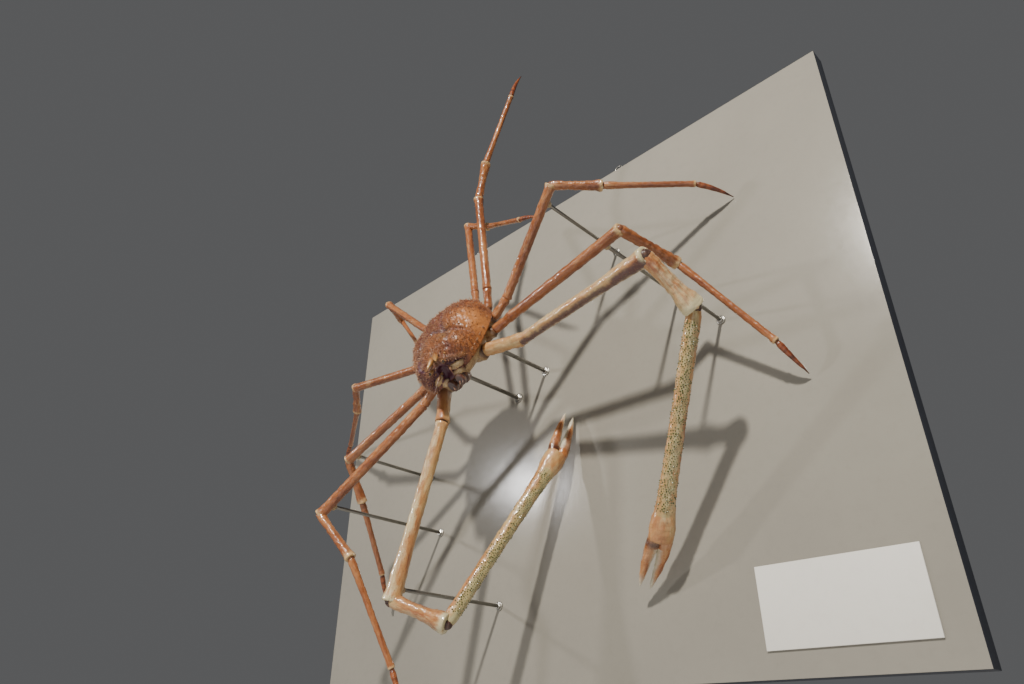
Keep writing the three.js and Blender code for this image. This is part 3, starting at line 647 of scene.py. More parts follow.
def make_carapace():
    """The back shell down to the hollow of the face, with its beads and spines."""
    rows, steps = 190, 170
    forward, values = smooth(CARAPACE_PROFILE, rows)
    turn = np.linspace(0, pi, steps)
    swing = np.cos(turn)
    width, height = values[:, :1] * CARAPACE_LENGTH, values[:, 1:]
    left = width * np.sign(swing) * abs(swing) ** 0.85
    front = np.broadcast_to(forward[:, None] * CARAPACE_LENGTH, left.shape)
    domed = height * CARAPACE_LENGTH + dome(left, front) * np.minimum(1, height * 5)
    seam = seam_at(forward)[:, None]
    up = seam + abs(np.sin(turn)) ** 0.8 * domed
    points = on_body(left, front, up)
    normal = np.cross(np.gradient(points, axis=1), np.gradient(points, axis=0))
    normal /= np.linalg.norm(normal, axis=-1, keepdims=True) + 1e-9
    rim = abs(np.sin(turn)) ** 0.5
    brow = np.clip((front - 118) / 26, 0, 1)
    ridge = stripe(abs(left), up, (24, 24), (86, -17), 8) * brow
    slit = stripe(abs(left), up, (30, 3), (80, -30), 3.6) * brow
    groove = furrows(left, front) * rim * (1 - brow * (ridge > 0.3))
    hills = 5.0 * patch(left, front, 104, 120, 30, 26) + 4.5 * patch(left, front, 42, 110, 24, 26)
    relief = (hills + lumps(points, 30, 3) * 2.2 + lumps(points, 13, 5) * 1.2 - 8.5 * groove) * rim
    points = points + normal * (relief + 5.5 * ridge - 6.0 * slit)[..., None]
    flat = np.linspace(-1, 1, 9)[1:-1]
    under = on_body(flat * width, np.broadcast_to(forward[:, None] * CARAPACE_LENGTH,
                                                  (len(forward), len(flat))), seam - 1.0)
    rings = np.concatenate([points, under], axis=1)
    middle = rings[-1].mean(0)
    uneven = 1 + 0.16 * lumps(rings[-1], 30, 6)[:, None]
    hollow = [middle + (rings[-1] - middle) * share * uneven
              + TO_FRONT * (place - forward[-1]) * CARAPACE_LENGTH for share, place in FACE_HOLLOW]
    flank = patch(left, front, 150, 30, 50, 66)
    bulge = patch(left, front, 104, 122, 32, 28)
    rostrum = patch(left, front, 0, 150, 20, 24)
    valley = patch(left, front, 62, 72, 22, 26)
    # Painted purple shade on the right front edge, standing for the cool lamp's purple cast on the
    # varnish; spines still grow thick there.
    purple_cast_shade = np.minimum(1, 1.4 * patch(left, front, 96, 124, 42, 52)) * (left < -30)
    crown = np.exp(-((left / 105) ** 2)) * np.clip((70 - front) / 60, 0, 1)
    spiny = (np.maximum(rim, 0.95 * purple_cast_shade) * np.clip(0.8 + 0.5 * (front / 190), 0.45, 1)
             * (1 - 0.9 * flank) * (1 - 0.8 * groove))
    spiny = spiny * (1 - 0.8 * np.maximum(slit, rostrum))
    pale = np.clip(0.95 * flank + 0.35 * bulge + 0.6 * ridge, 0, 1)
    olive = np.clip(0.85 * valley + 0.75 * rostrum + 0.4 * ridge, 0, 1)
    # Painted shade in the throat, where the front wall turns into the hollow of the face.
    throat_shade = np.exp(-((left / 58) ** 2 + ((up + 16) / 40) ** 2)) * np.clip((front - 140) / 12, 0, 1)
    # Dark mark: the crown's own darker brown, painted shade in the grooves and in the slit under
    # the brow ridge, painted shade in the throat, and painted purple shade on the right front edge;
    # the pale flank lightens it.
    dark = np.clip(0.4 * crown * rim + 0.75 * groove + slit + 1.6 * throat_shade + 0.95 * purple_cast_shade
                   - 0.6 * flank, 0, 1)

    def whole(inside, hollow_value=0.0):
        full = np.zeros((len(rings) + len(hollow), rings.shape[1]))
        full[:len(rings), :steps] = inside
        full[len(rings):] = hollow_value
        return np.append(full.ravel(), (0, hollow_value))

    every = np.concatenate([rings, hollow])
    ends = [every[0].mean(0), every[-1].mean(0)]
    # Every ring of the hollow takes the dark mark at full strength: painted shade filling the
    # hollow under the forehead.
    shell = make_piece("carapace_shell", np.vstack([every.reshape(-1, 3), ends]),
                       skin_faces(len(every), rings.shape[1]), CARAPACE, ("carapace",),
                       "carapace_shell", spiny=whole(spiny), pale=whole(pale),
                       olive=whole(olive), dark=whole(dark, 1.0))
    grow(shell, "carapace_beads", SPINES, Density=140000.0, Spacing=0.0033, Height=0.0040,
         Width=0.0017, Least=0.45, Seed=4)
    grow(shell, "carapace_spines", SPINES, Density=95000.0, Spacing=0.0052, Height=0.0130,
         Width=0.0026, Least=0.35, Seed=9)


def make_underside():
    """The tan underside, plated across and parted along the middle."""
    steps = 80
    forward, values = smooth(UNDERSIDE_PROFILE, 90)
    turn = np.linspace(0, pi, steps)
    width = values[:, :1] * CARAPACE_LENGTH
    seam = seam_at(forward)[:, None]
    left = width * np.cos(turn)
    front = np.broadcast_to(forward[:, None] * CARAPACE_LENGTH, left.shape)
    plates = np.exp(-((np.mod(front + 8, 52) - 26) / 3.2) ** 2)
    middle = np.exp(-((left / 5.0) ** 2))
    curve = abs(np.sin(turn))
    up = seam + (UNDERSIDE_LEVEL - seam) * values[:, 1:] * curve**0.6
    up = up + (2.4 * plates + 2.0 * middle) * curve
    points = on_body(left, front, up)
    points = points + lumps(points, 22, 8)[..., None] * 0.9 * -TO_BACK * curve[:, None]
    top = on_body(np.zeros((len(forward), 1)), forward[:, None] * CARAPACE_LENGTH, seam)
    rings = np.concatenate([points, top], axis=1)
    furrow = np.zeros(rings.shape[:2])
    furrow[:, :steps] = np.maximum(plates, middle) * curve
    ends = [rings[0].mean(0), rings[-1].mean(0)]
    faces = [face[::-1] for face in skin_faces(len(forward), rings.shape[1])]
    # Dark mark: painted shade in the grooves between the plates and along the middle parting, where
    # the pale mark is lowered as well.
    make_piece("underside_shell", np.vstack([rings.reshape(-1, 3), ends]), faces, TAN,
               ("underside",), "pale_shell",
               pale=np.append(0.4 - 0.4 * furrow.ravel(), (0.4, 0.4)),
               dark=np.append(0.9 * furrow.ravel(), (0, 0)))


def make_abdomen():
    """The narrow tail flap in seven overlapping rings."""
    rows = [(-165, 30, -40), (-130, 36, -72), (-60, 34, -96), (0, 26, -104), (52, 16, -100)]
    forward, values = smooth(rows, 130)
    lap = 1 - np.abs(np.mod((forward + 165) / 31.0, 1) - 0.12)
    thick = 7 * (0.86 + 0.2 * lap)
    centres = on_body(np.zeros(len(forward)), forward, values[:, 1])
    sides = 40
    points, faces, *_ = tube(centres, TO_FRONT, TO_BACK, thick,
                             values[:, 0] * (0.97 + 0.04 * lap), sides)
    # Dark mark: painted shade on the thin end of each ring, where the next ring steps over it.
    make_piece("abdomen_rings", points, faces, TAN, ("abdomen",), "pale_shell",
               pale=np.full(len(points), 0.6),
               dark=np.append(np.repeat((lap < 0.25) * 0.6, sides), (0, 0)))


# Face


def spike_skin(at, way, length, radius, bend=(0, 0, 0), sides=16):
    """Points, faces and rise of one curved spine with its root sunk in the shell."""
    way = unit(way)
    share = np.linspace(-0.35, 1, 26)
    centres = at + np.outer(share * length, way) + np.outer(np.clip(share, 0, 1) ** 2, bend)
    size = radius * np.clip(1 - 0.93 * np.clip(share, 0, 1) ** 1.25, 0.04, 1)
    hint = TO_BACK if abs(way @ TO_BACK) < 0.9 else TO_LEFT
    points, faces, along, _ = tube(centres, way, hint, size, size, sides,
                                   lambda p: lumps(p, 6, 31) * 0.25)
    return points, faces, along


def spike(name, at, way, length, radius, finish, bend=(0, 0, 0), slot="carapace_shell", sides=16):
    points, faces, along = spike_skin(at, way, length, radius, bend, sides)
    return make_piece(name, points, faces, finish, slot=slot, rise=along, pale=along * 0.5,
                      dark=np.zeros(len(points)))


EDGE_SPINES = ((0.35, 16), (0.27, 19), (0.12, 14), (-0.02, 13), (0.2, 11), (0.31, 10))


def make_face():
    """Horns, orbit and edge spines, eyes on their stalks, and antennae."""
    for side, sign in (("left", 1), ("right", -1)):
        spike(f"horn_{side}", on_body(sign * 12, 148, 38), along_body(sign * 0.2, 1, 0.05),
              36, 10.5, HORN, bend=TO_LEFT * sign * 3, sides=22)
        spike(f"orbit_spine_{side}", on_body(sign * 40, 140, 26), along_body(sign * 0.5, 0.85, 0.2),
              19, 6.2, HORN)
        for number, (forward, height) in enumerate(EDGE_SPINES):
            edge = np.interp(forward, [r[0] for r in CARAPACE_PROFILE],
                             [r[1] for r in CARAPACE_PROFILE]) * CARAPACE_LENGTH
            spike(f"edge_spine_{side}_{number + 1}",
                  on_body(sign * edge * 0.97, forward * CARAPACE_LENGTH, -32),
                  along_body(sign, 0.25, 0.35), height, 4.6, SPINE)
        stalk = [(0, 4.6, 4.6), (10, 4.6, 4.6), (15, 5.6, 5.6), (19, 6.6, 6.4), (25, 7.2, 7.0),
                 (29, 6.0, 5.8), (30, 4.6, 4.5), (33, 3.8, 3.7), (34.4, 0.8, 0.8)]
        at, size = smooth(stalk, 60)
        way = along_body(sign * 0.45, 0.88, 0.1)
        centres = on_body(sign * 20, 150, 16) + np.outer(at, way)
        points, faces, *_ = tube(centres, way, TO_BACK, size[:, 0], size[:, 1], 32)
        reach = np.append(np.repeat(at, 32), (0, at[-1]))
        make_piece(f"eye_stalk_{side}", points, faces, EYE, (f"eye_{side}",), "eye",
                   pale=(reach < 29.6).astype(float))
        stem = [(0, 5.6, 5.2), (8, 6.2, 5.8), (20, 5.4, 5.0), (23, 4.2, 4.0), (26, 4.9, 4.6),
                (37, 4.2, 4.0), (41, 2.4, 2.3), (66, 1.7, 1.7), (92, 0.7, 0.7)]
        at, size = smooth(stem, 110)
        way = along_body(sign * 0.35, 1, -0.1)
        beads = 1 + 0.07 * np.sin(at * 2.2) * (at > 41)
        centres = (on_body(sign * 19, 148, -14) + np.outer(at, way)
                   + np.outer(3 * np.sin(pi * at / 92), TO_BACK))
        points, faces, share, _ = tube(centres, way, TO_BACK, size[:, 0] * beads,
                                       size[:, 1] * beads, 18)
        make_piece(f"antenna_{side}_stem", points, faces, MOUTH, (f"antenna_{side}",), "pale_shell",
                   pale=1 - share, dark=share * 0.4)


def make_cheeks():
    """Tan plates under each orbit: a long upper one and a shorter lower one."""
    rows = (("upper", 18, 74, -14, -38, 12.5), ("lower", 12, 56, -38, -54, 11))
    for side, sign in (("left", 1), ("right", -1)):
        for label, start, end, high, low, wide in rows:
            share = np.linspace(0, 1, 60)
            left = start + (end - start) * share
            path = on_body(sign * left, 165.5 - 15 * (left / 70) ** 2.2,
                           high + (low - high) * share)
            round_end = np.clip(np.sin(np.clip(share, 0.015, 0.985) * pi), 0, 1) ** 0.38
            points, faces, along, _ = tube(path, unit(np.gradient(path, axis=0)), TO_FRONT,
                                           7.5 * round_end, wide * round_end, 36,
                                           lambda p: lumps(p, 13, 33) * 0.9)
            make_piece(f"cheek_plate_{label}_{side}", points, faces, TAN, slot="pale_shell",
                       pale=0.2 + 0.4 * np.sin(along * pi), dark=0.9 * (1 - np.sin(along * pi)))


def make_mouth():
    """Outer mouthparts in jointed plates with feelers folded in front of them."""
    plates = (("base", 0, 24, 17), ("plate", 20, 34, 21), ("lobe", 48, 27, 16))
    for side, sign in (("left", 1), ("right", -1)):
        way = along_body(sign * 0.02, 1, 0.24)
        root = on_body(sign * 18, 110, -80)
        for number, (label, start, length, wide) in enumerate(plates):
            stations = [(0, 0.55, 0.5), (length * 0.12, 0.95, 0.85), (length * 0.5, 1.05, 1),
                        (length * 0.88, 0.96, 0.8), (length * 0.97, 0.7, 0.55), (length, 0.2, 0.2)]
            at, size = smooth(stations, 40)
            tall = (25, 26, 21)[number]
            centres = root + np.outer(at + start, way)
            points, faces, share, _ = tube(centres, way, TO_BACK, size[:, 0] * tall,
                                           size[:, 1] * wide * 0.92, 36,
                                           lambda p: lumps(p, 12, 20 + number) * 0.8)
            make_piece(f"mouth_{label}_{side}", points, faces, MOUTH,
                       ("mouthparts",) if number == 1 else (), "pale_shell",
                       pale=0.3 * np.sin(share * pi), dark=0.9 * (1 - np.sin(share * pi)))
        for number, (start, lean) in enumerate(((64, 0.25), (70, 0.05))):
            way_out = along_body(sign * lean, 0.8, -0.55)
            spike(f"mouth_feeler_{side}_{number + 1}",
                  root + way * start + TO_LEFT * sign * (4 - 8 * number), way_out, 30, 3.6, MOUTH,
                  bend=-TO_LEFT * sign * 8 + TO_BACK * 9, slot="pale_shell", sides=12)


# Limbs


class Limb:
    """Joints, directions and sizes of one leg, as in the solids."""

    def __init__(self, kind, side):
        coxa, self.lengths, self.radius = LIMB_KINDS[kind]
        self.sign = 1 if side == "left" else -1
        self.name = f"{kind}_{side}"
        self.claw = kind == "cheliped"
        self.coxa = (self.sign * coxa[0], coxa[1], coxa[2])
        self.ways = [headed(pair) for pair in POSE[self.name]]
        self.joints = [on_body(*self.coxa)]
        for way, length in zip(self.ways, self.lengths):
            self.joints.append(self.joints[-1] + way * length)
        self.mean = 0.77 if self.claw else 0.92
        self.far = 0.95
        self.collar = 1.2 if self.claw else 1.02
        self.hint = np.array(FINGER_SIDE[self.name]) if self.claw else TO_BACK
        self.seed = sum(map(ord, self.name))
        self.finish = CLAW if self.claw else LEG
        self.slot = "claw_shell" if self.claw else "leg_shell"

    def across(self, way):
        """The direction of a quarter turn round a segment, from the hint."""
        up = unit(self.hint - (self.hint @ way) * way)
        return np.cross(way, up)


def straight(limb, label, start, way, stations, finish, node=None, slot=None, sides=36, steps=90,
             rough=0.5, bow=0.0, ends=(0.0, 0.0), tip_dark=0.0, ripple=None, **marks):
    """One straight shell segment from its stations, each a distance and two radii."""
    at, size = smooth(stations, steps)
    length = at[-1] - at[0]
    share = (at - at[0]) / length
    up = unit(limb.hint - (limb.hint @ way) * way)
    path = start + np.outer(at, way) + np.outer(bow * np.sin(pi * share), up)
    scale = min(1.0, limb.radius / 20) * rough
    if ripple:
        size = size * ripple(at, share)[:, None]

    def relief(points):
        return (lumps(points, 24, limb.seed) + lumps(points, 8, limb.seed + 1) * 0.45) * scale

    points, faces, _, turn = tube(path, way, limb.hint, size[:, 0], size[:, 1], sides, relief)
    share = np.append(np.repeat(share, sides), (0, 1))
    near, far = (np.exp(-((s / max(reach, 1e-3)) ** 2)) * (reach > 0)
                 for s, reach in ((share, ends[0]), (1 - share, ends[1])))
    drift = 0.2 * lumps(points, 90, limb.seed + 2)
    around = limb.radius * MM
    kept = {"pale": np.clip(near + far + drift, 0, 1),
            "dark": np.clip((share - 0.72) / 0.28, 0, 1) * tip_dark,
            "along": share * length * MM,
            "lie": np.stack([share * length * MM * 0.28 + limb.seed, around * np.cos(turn),
                             around * np.sin(turn)], -1)}
    sway = turn + 0.3 * lumps(points, 62, limb.seed + 3) + 0.12 * lumps(points, 15, limb.seed + 4)
    for key, rule in marks.items():
        kept[key] = np.clip(kept.get(key, 0) + rule(share, sway), 0, 1)
    return make_piece(f"{limb.name}_{label}", points, faces, finish, (node,) if node else (),
                      slot or limb.slot, **kept)


def joint_skin(limb, label, at, way, wide):
    """The dark folded skin that fills the gap between two shells."""
    straight(limb, label, at, way,
             [(-wide * 0.5, wide * 0.5, wide * 0.46), (-wide * 0.2, wide * 0.88, wide * 0.82),
              (wide * 0.2, wide * 0.92, wide * 0.86), (wide * 0.5, wide * 0.8, wide * 0.74),
              (wide * 0.82, wide * 0.5, wide * 0.46), (wide * 0.96, wide * 0.2, wide * 0.18)],
             MEMBRANE if limb.claw else LEG_SKIN, steps=40, sides=28, rough=0.6,
             ripple=lambda at, share: 1 + 0.03 * np.sin(share * 26))


def pivots(limb, label, at, way, reach, size):
    """The two pale knuckles that a joint turns on, one at either side."""
    side = limb.across(way)
    for number, sign in enumerate((1, -1)):
        root = at + side * sign * reach
        straight(limb, f"{label}_{number + 1}", root, side * sign,
                 [(-size * 0.9, size * 0.8, size * 0.95), (-size * 0.1, size * 0.95, size * 1.05),
                  (size * 0.25, size * 0.72, size * 0.8), (size * 0.42, size * 0.25, size * 0.3)],
                 COLLAR, steps=18, sides=20, rough=0.7)


def make_upper(limb):
    """Coxa, ischium and merus, each its own shell with dark skin between."""
    r = limb.radius
    socket, ischium_end, knee = limb.joints[:3]
    outward = unit(socket - on_body(0, limb.coxa[1] * 0.55, limb.coxa[2]))
    stations = radii(r, (-46, 0.9, 0.84), (-r * 1.1, 0.98, 0.9), (-r * 0.55, 1.12, 1.04),
                     (-r * 0.15, 1, 0.92), (r * 0.12, 0.72, 0.66), (r * 0.2, 0.3, 0.3))
    # Dark mark: painted shade near the coxa's narrow end, where it meets the hip skin, and on the
    # side facing away from the limb's hint direction.
    straight(limb, "coxa", socket, outward, stations, TAN, slot="pale_shell", steps=36, rough=1.2,
             dark=lambda s, t: (0.8 * np.exp(-(((s - 0.9) / 0.16) ** 2))
                                + 0.45 * np.clip(-np.cos(t), 0, 1)),
             pale=lambda s, t: 0.5 * np.exp(-(((s - 0.6) / 0.2) ** 2)))
    joint_skin(limb, "hip_skin", socket, limb.ways[0], r * 0.8)
    length = limb.lengths[0]
    stations = radii(r, (r * 0.1, 0.76, 0.7), (r * 0.35, 0.88, 0.8), (r * 0.9, 0.9, 0.82),
                     (length - r * 1.3, 0.82, 0.76), (length - r * 0.5, 0.94, 0.86),
                     (length - r * 0.06, 0.9, 0.82), (length - r * 0.02, 0.7, 0.64))
    shaded = limb.name == "cheliped_right"
    straight(limb, "ischium", socket, limb.ways[0], stations, limb.finish, steps=50, rough=1.1,
             dark=lambda s, t: 0.8 * np.exp(-((s / 0.5) ** 2)) * shaded)
    joint_skin(limb, "ischium_skin", ischium_end, limb.ways[0], r * limb.mean * 0.86)
    length = limb.lengths[1]
    mean, far = r * limb.mean, r * limb.far
    stations = radii(mean, (-r * 0.06, 0.74, 0.68), (r * 0.06, 0.96, 0.88), (r * 0.3, 1.08, 1),
                     (r * 0.9, 0.96, 0.9), (length * 0.3, 1, 0.92), (length * 0.65, 1, 0.92))
    stations += radii(far, (length * 0.88, 0.98, 0.9), (length - r, 1.04, 0.96),
                      (length - r * 0.35, 1.14, 1.06), (length + r * 0.02, 1.18, 1.08),
                      (length + r * 0.16, 1.12, 1.02), (length + r * 0.2, 0.86, 0.8))
    # Dark mark on the merus: the claws' own purple-brown underside, deepened by painted shade on
    # the side turned from the light; on the walking legs a darker lower side, partly own colour and
    # partly painted shade.
    underside_tone_and_shade = {"cheliped_left": lambda s, t: 0.95 * np.clip((np.sin(t) - 0.7) * 4, 0, 1),
             "cheliped_right": lambda s, t: 0.3 * np.clip((np.sin(t) - 0.3) * 2, 0, 1)}
    underside_tone_and_shade = underside_tone_and_shade.get(limb.name, lambda s, t: 0.35 * np.clip(-np.cos(t) - 0.2, 0, 1))
    # Pale mark: the claws' own cream; on the walking legs a slightly paler upper side, painted
    # light.
    tone_and_shading = {"pale": lambda s, t: 0.12 * np.cos(t)}
    if limb.claw:
        tone_and_shading = {"pale": lambda s, t: 0.5 - 1.1 * np.clip(abs(np.sin(t + 0.6)) - 0.5, 0, 1)}
    merus = straight(limb, "merus_shell", ischium_end, limb.ways[1], stations, limb.finish,
                     f"{limb.name}_merus", steps=150, ends=(0.0, 0.022), rough=0.9,
                     dark=underside_tone_and_shade,
                     spiny=lambda s, t: np.clip(abs(np.sin(t)) * 1.6 - 0.7, 0.08, 1), **tone_and_shading)
    grow(merus, f"{limb.name}_merus_beads", BEADS, Density=26000.0, Spacing=0.007,
         Height=0.0023, Width=0.0017, Least=0.5, Seed=limb.seed % 97)
    joint_skin(limb, "knee_skin", knee, limb.ways[1], far * 0.84)
    pivots(limb, "knee_pivot", knee, limb.ways[1], far * 0.86, r * 0.3)


def make_carpus(limb):
    """The short segment past the knee, narrow at its root and flared at the wrist."""
    length, r, c = limb.lengths[2], limb.radius, limb.collar
    way = limb.ways[2]
    wrist = limb.joints[3]
    tone_and_shading = {"pale": lambda s, t: 0.15 + 0.4 * s} if limb.claw else {}
    # On the right claw's carpus: a painted highlight along one flank and painted shade along the
    # other.
    if limb.name == "cheliped_right":
        tone_and_shading = {"pale": lambda s, t: 0.3 * np.sin(t),
                "dark": lambda s, t: 0.35 * np.clip(-np.sin(t), 0, 1)}
    stations = radii(r, (-r * 0.32, 0.34, 0.32), (-r * 0.14, 0.64, 0.6), (r * 0.15, 0.79, 0.74),
                     (r * 0.5, 0.85, 0.79), (length * 0.17, 0.86, 0.79),
                     (length * 0.34, 0.8, 0.72), (length * 0.62, 0.85, 0.76))
    stations += radii(r * c, (length - r * 0.9, 1, 0.88), (length - r * 0.3, 1.05, 0.94),
                      (length + r * 0.02, 1, 0.9))
    stations += radii(r, (length + r * 0.06, 0.8, 0.72))
    straight(limb, "carpus_shell", limb.joints[2], way, stations, limb.finish,
             f"{limb.name}_carpus", steps=90, ends=(0.03, 0.09), rough=1.2, **tone_and_shading)
    joint_skin(limb, "wrist_skin", wrist, way, r * 0.7)
    pivots(limb, "wrist_pivot", wrist - way * r * 0.1, way, r * 0.84 * c, r * 0.26)


def make_walker_end(limb):
    """Propodus and pointed dactyl of a walking leg."""
    length, r = limb.lengths[3], limb.radius
    stations = radii(r, (-r * 0.2, 0.3, 0.28), (0, 0.52, 0.5), (r * 0.4, 0.64, 0.6),
                     (r, 0.72, 0.66), (r * 1.6, 0.71, 0.65), (length * 0.2, 0.62, 0.58),
                     (length * 0.6, 0.56, 0.52), (length - r * 1.2, 0.56, 0.52),
                     (length - r * 0.45, 0.63, 0.59), (length - r * 0.04, 0.62, 0.58),
                     (length, 0.44, 0.42))
    straight(limb, "propodus_shell", limb.joints[3], limb.ways[3], stations, limb.finish,
             f"{limb.name}_propodus", steps=120, ends=(0.02, 0.02), rough=0.7)
    joint_skin(limb, "toe_skin", limb.joints[4], limb.ways[3], r * 0.46)
    length = limb.lengths[4]
    stations = radii(r, (r * 0.05, 0.3, 0.28), (r * 0.3, 0.44, 0.4), (r, 0.54, 0.48),
                     (length * 0.4, 0.46, 0.4), (length * 0.7, 0.3, 0.26),
                     (length * 0.9, 0.14, 0.12)) + [(length, 0.8, 0.7)]
    straight(limb, "dactyl_shell", limb.joints[4], limb.ways[4], stations, TOE,
             f"{limb.name}_dactyl", "finger_shell", steps=120, bow=5, rough=0.35, tip_dark=1.0,
             ripple=lambda at, share: 1 + 0.02 * np.sin(at * 1.15) * (share < 0.8))


def tooth_row(limb, label, spots, out, sizes):
    """The worn white teeth along the biting edge of one finger, as a single row."""
    points, faces, rise = [], [], []
    for spot, size in zip(spots, sizes):
        skin, quads, along = spike_skin(spot, out, size * 1.6, size, sides=10)
        base = sum(map(len, points))
        points.append(skin)
        faces += [[base + index for index in quad] for quad in quads]
        rise.append(along)
    along = np.concatenate(rise)
    make_piece(f"{limb.name}_{label}", np.vstack(points), faces, COLLAR, slot="finger_shell",
               pale=along, dark=0.3 * (1 - along))


def make_hand(limb):
    """The long palm of a claw leg with its green knobs, and the two toothed fingers."""
    length, r, face = limb.lengths[3], limb.radius, -limb.sign
    lean = 0.55 if limb.sign > 0 else 0.0

    def green_side(turn):
        return (np.clip(np.sin(turn * face + lean) + 0.15, 0, 1)
                * np.clip(1.3 - np.cos(turn) * (1.3 - lean), 0, 1))

    def bumpy(share, turn):
        return green_side(turn) ** 0.7 * (share > 0.06) * (share < 0.86)

    def ribbed(at, share):
        return 1 + 0.012 * np.sin(at * 0.85) * np.clip((share - 0.66) * 8, 0, 1) * (share < 0.96)

    stations = radii(r, (-r * 0.2, 0.32, 0.3), (0, 0.56, 0.5), (r * 0.4, 0.7, 0.62),
                     (r * 1.2, 0.81, 0.71), (length * 0.3, 0.8, 0.7), (length * 0.7, 0.88, 0.74),
                     (length * 0.86, 1.04, 0.84), (length * 0.95, 1.32, 1), (length, 1.28, 0.95),
                     (length + r * 0.25, 1.1, 0.8), (length + r * 0.38, 0.6, 0.44))
    palm = straight(limb, "palm_shell", limb.joints[3], limb.ways[3], stations, CLAW,
                    f"{limb.name}_hand", steps=220, sides=52, rough=1.0, ripple=ribbed,
                    spiny=bumpy,
                    pale=lambda s, t: (0.05 + 0.5 * green_side(t) - 0.5 * np.clip(np.cos(t), 0, 1)
                                       - 0.7 * np.clip((s - 0.86) * 9, 0, 1)),
                    # Dark mark: painted shade along the edge of the palm opposite the fingers'
                    # side.
                    dark=lambda s, t: 0.4 * np.clip(-np.cos(t) * 2 - 1.2 - abs(np.sin(t)), 0, 1),
                    olive=lambda s, t: (0.6 * np.clip(green_side(t) * 1.4 - 0.5, 0, 1)
                                        * (s < 0.88)))
    grow(palm, f"{limb.name}_palm_knobs", KNOBS, Density=130000.0, Spacing=0.0058, Height=0.0048,
         Width=0.0038, Least=0.4, Seed=limb.seed % 89)
    way = limb.ways[4]
    offset = unit(limb.hint - (limb.hint @ way) * way)
    reach = limb.lengths[4] + r * 0.3
    rows = ((0, 0.7, 0.66), (0.16, 0.72, 0.66), (0.45, 0.53, 0.5), (0.75, 0.34, 0.32),
            (0.93, 0.16, 0.16))
    stations = radii(r, *((reach * share, tall, wide) for share, tall, wide in rows))
    for label, side, node in (("finger_moving", 1, f"{limb.name}_finger"),
                              ("finger_fixed", -1, None)):
        start = limb.joints[4] + offset * side * FINGER_SPREAD - way * r * 0.3
        inner = -side
        straight(limb, label, start, way, stations + [(reach, 1.0, 1.0)], FINGER, node,
                 "finger_shell", steps=110, bow=side * FINGER_BOW, rough=0.9,
                 dark=lambda s, t: 0.9 * np.exp(-((s - 0.13) / 0.09) ** 2) * (side > 0),
                 pale=lambda s, t: (np.clip((s - 0.72) * 4, 0, 1)
                                    + np.clip(np.cos(t) * inner * 1.6 - 0.5, 0, 1) * (s > 0.2)))
        shares = 0.24 + 0.062 * np.arange(11)
        half = np.interp(shares, *zip(*((share, tall) for share, tall, _ in rows[1:]))) * r
        bowed = side * FINGER_BOW * np.sin(pi * shares) + inner * half * 0.86
        spots = start + np.outer(reach * shares, way) + np.outer(bowed, offset)
        tooth_row(limb, f"{label}_teeth", spots, offset * inner, 2.9 * (1 - 0.55 * shares))


# Mount


def box_piece(name, low, high, bevel, finish, nodes=(), slot=None, second=None):
    """A box with rounded edges; `second` is the finish of its thin sides."""
    (x0, y0, z0), (x1, y1, z1) = low, high
    corners = [(x, y, z) for x in (x0, x1) for y in (y0, y1) for z in (z0, z1)]
    faces = [(0, 1, 3, 2), (4, 6, 7, 5), (0, 4, 5, 1), (2, 3, 7, 6), (0, 2, 6, 4), (1, 5, 7, 3)]
    piece = make_piece(name, corners, faces, finish, nodes, slot)
    edge = piece.modifiers.new("bevel", "BEVEL")
    edge.width = bevel * MM
    edge.segments = 3
    graph = bpy.context.evaluated_depsgraph_get()
    mesh = bpy.data.meshes.new_from_object(piece.evaluated_get(graph), depsgraph=graph)
    piece.modifiers.remove(edge)
    piece.data = mesh
    if second:
        mesh.materials.append(second)
        for polygon in mesh.polygons:
            polygon.material_index = int(abs(polygon.normal.y) < 0.8)


def make_board():
    """The grey display board and the bare name plate in its lower right corner."""
    half_width, half_height = BOARD_WIDTH / 2, BOARD_HEIGHT / 2
    box_piece("board_panel", (-half_width, -BOARD_DEPTH, -half_height),
              (half_width, 0, half_height), 1.6, BOARD, ("display_board",), "board", BOARD_SIDE_SHADE)
    box_piece("name_plate_panel", (728, BOARD_FACE - 5, -846), (1128, BOARD_FACE, -646), 0.8,
              PLATE, ("name_plate",), "plate")


def turned(centre, axis, rows, sides, finish, name, nodes=(), slot=None, smooth_faces=True):
    """A turned metal piece: rows give the distance along the axis and the radius."""
    axis = unit(axis)
    rows = np.array(rows, float)
    centres = np.asarray(centre, float) + np.outer(rows[:, 0], axis)
    hint = (1.0, 0, 0.3) if abs(axis[0]) < 0.8 else (0, 0, 1.0)
    points, faces, _, _ = tube(centres, axis, np.array(hint), rows[:, 1], rows[:, 1], sides)
    return make_piece(name, points, faces, finish, nodes, slot, smooth_faces)


def make_rod(name, x, z, end, radius, node):
    """A steel rod out of the board, with its flange and nut."""
    turned((x, end, z), (0, 1, 0), [(0, radius * 0.7), (1.0, radius), (BOARD_FACE - end, radius)],
           32, STEEL, f"{name}_bar", (node,), "steel")
    flange = [(0, radius * 2.4), (3.2, radius * 2.4), (4, radius * 2.3), (4.6, radius * 2.0)]
    turned((x, BOARD_FACE, z), (0, -1, 0), flange, 48, BRIGHT, f"{name}_flange", slot="steel")
    nut = [(4, radius * 1.5), (4.6, radius * 1.75), (10.4, radius * 1.75), (11.5, radius * 1.5)]
    turned((x, BOARD_FACE, z), (0, -1, 0), nut, 6, BRIGHT, f"{name}_nut", slot="steel",
           smooth_faces=False)


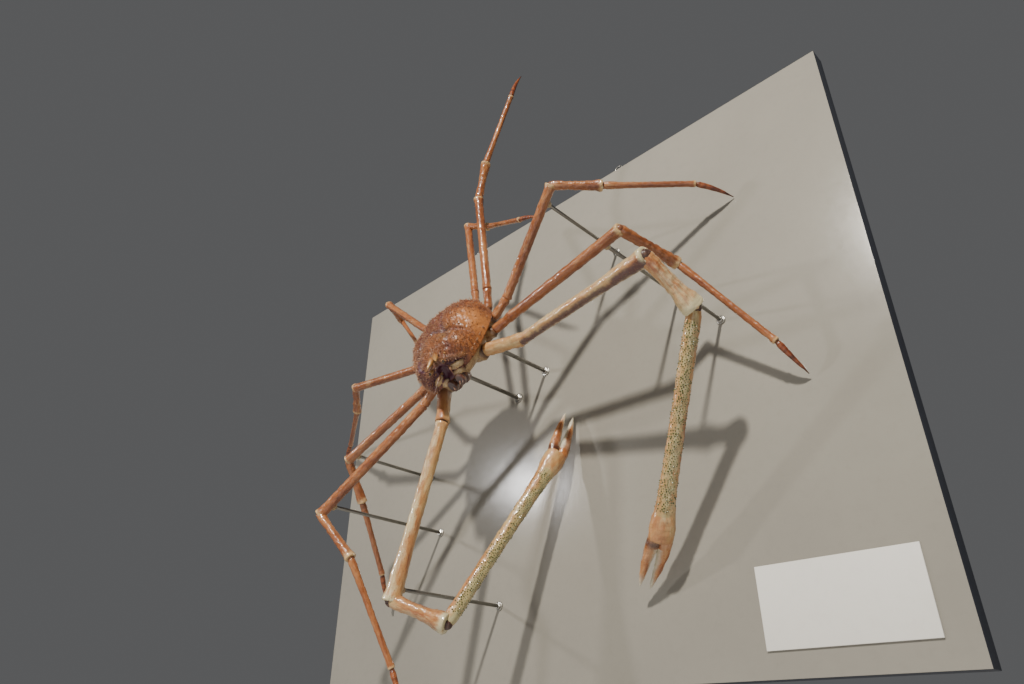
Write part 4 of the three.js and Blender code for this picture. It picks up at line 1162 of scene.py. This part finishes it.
def make_rods(limbs):
    """The rods that hold six limbs, each in a lump of glue, and the two behind the body."""
    for name, share in LIMB_RODS.items():
        limb = next(one for one in limbs if one.name == name)
        held = limb.joints[1] + (limb.joints[2] - limb.joints[1]) * share
        surface = held[1] + limb.radius * limb.far * 0.8
        make_rod(f"rod_{name}", held[0], held[2], surface, 6, f"rod_{name}")
        centre = np.array((held[0], surface - 1, held[2]))
        lump = ((-9, 0.3), (-4, 0.75), (2, 0.98), (7, 1.0), (12, 0.82), (15.5, 0.62))
        at, radius = smooth([(along, share * 11) for along, share in lump], 30)
        points, faces, _, _ = tube(centre + np.outer(at, (0, 1, 0)), np.array((0, 1.0, 0)),
                                   np.array((1.0, 0, 0)), radius[:, 0], radius[:, 0] * 1.15, 32,
                                   lambda p: lumps(p, 11, 41) * 1.1)
        bare = np.zeros(len(points))
        make_piece(f"glue_{name}", points, faces, GLUE, slot="claw_shell", pale=bare, dark=bare)
    for side, (x, z) in BODY_RODS.items():
        low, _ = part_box(f"rod_body_{side}")
        make_rod(f"rod_body_{side}", x, z, low.y / MM, 7.5, f"rod_body_{side}")


def make_eye_bolts():
    """A ring, collar, nut and shank in the board's top edge, near each end."""
    around, thick = 72, 20
    for side, sign in (("left", -1), ("right", 1)):
        x, y = sign * 400, -30
        angle = np.linspace(0, 2 * pi, around, endpoint=False)[:, None]
        small = np.linspace(0, 2 * pi, thick, endpoint=False)
        reach = 16 + 3 * np.cos(small)[None]
        ring = np.stack([x + reach * np.cos(angle),
                         y + np.broadcast_to(3 * np.sin(small), (around, thick)),
                         BOARD_TOP + 26 + reach * np.sin(angle)], -1).reshape(-1, 3)
        faces = [[i * thick + k, (i + 1) % around * thick + k,
                  (i + 1) % around * thick + (k + 1) % thick, i * thick + (k + 1) % thick]
                 for i in range(around) for k in range(thick)]
        make_piece(f"eye_bolt_{side}_ring", ring, faces, BRIGHT, (f"eye_bolt_{side}",), "steel")
        parts = (("collar", ((0, 9), (2.4, 9), (3, 8.4)), 40),
                 ("nut", ((2.5, 5), (3.2, 5.6), (6.5, 5.6), (7, 5)), 6),
                 ("shank", ((3, 3), (12, 3)), 24))
        for label, rows, sides in parts:
            turned((x, y, BOARD_TOP), (0, 0, 1), rows, sides, BRIGHT,
                   f"eye_bolt_{side}_{label}", slot="steel", smooth_faces=label != "nut")


# The whole specimen

set_camera()
set_room()
SPINES = spine_tree("shell_spines", SPINE)
BEADS = spine_tree("shell_beads", SPINE, sides=7, rings=2)
KNOBS = spine_tree("hand_knobs", KNOB, sides=8, rings=3)

make_carapace()
make_underside()
make_abdomen()
make_face()
make_cheeks()
make_mouth()
every_limb = [Limb(kind, side) for kind in LIMB_KINDS for side in ("left", "right")]
for each in every_limb:
    make_upper(each)
    make_carpus(each)
    if each.claw:
        make_hand(each)
    else:
        make_walker_end(each)
make_board()
make_rods(every_limb)
make_eye_bolts()
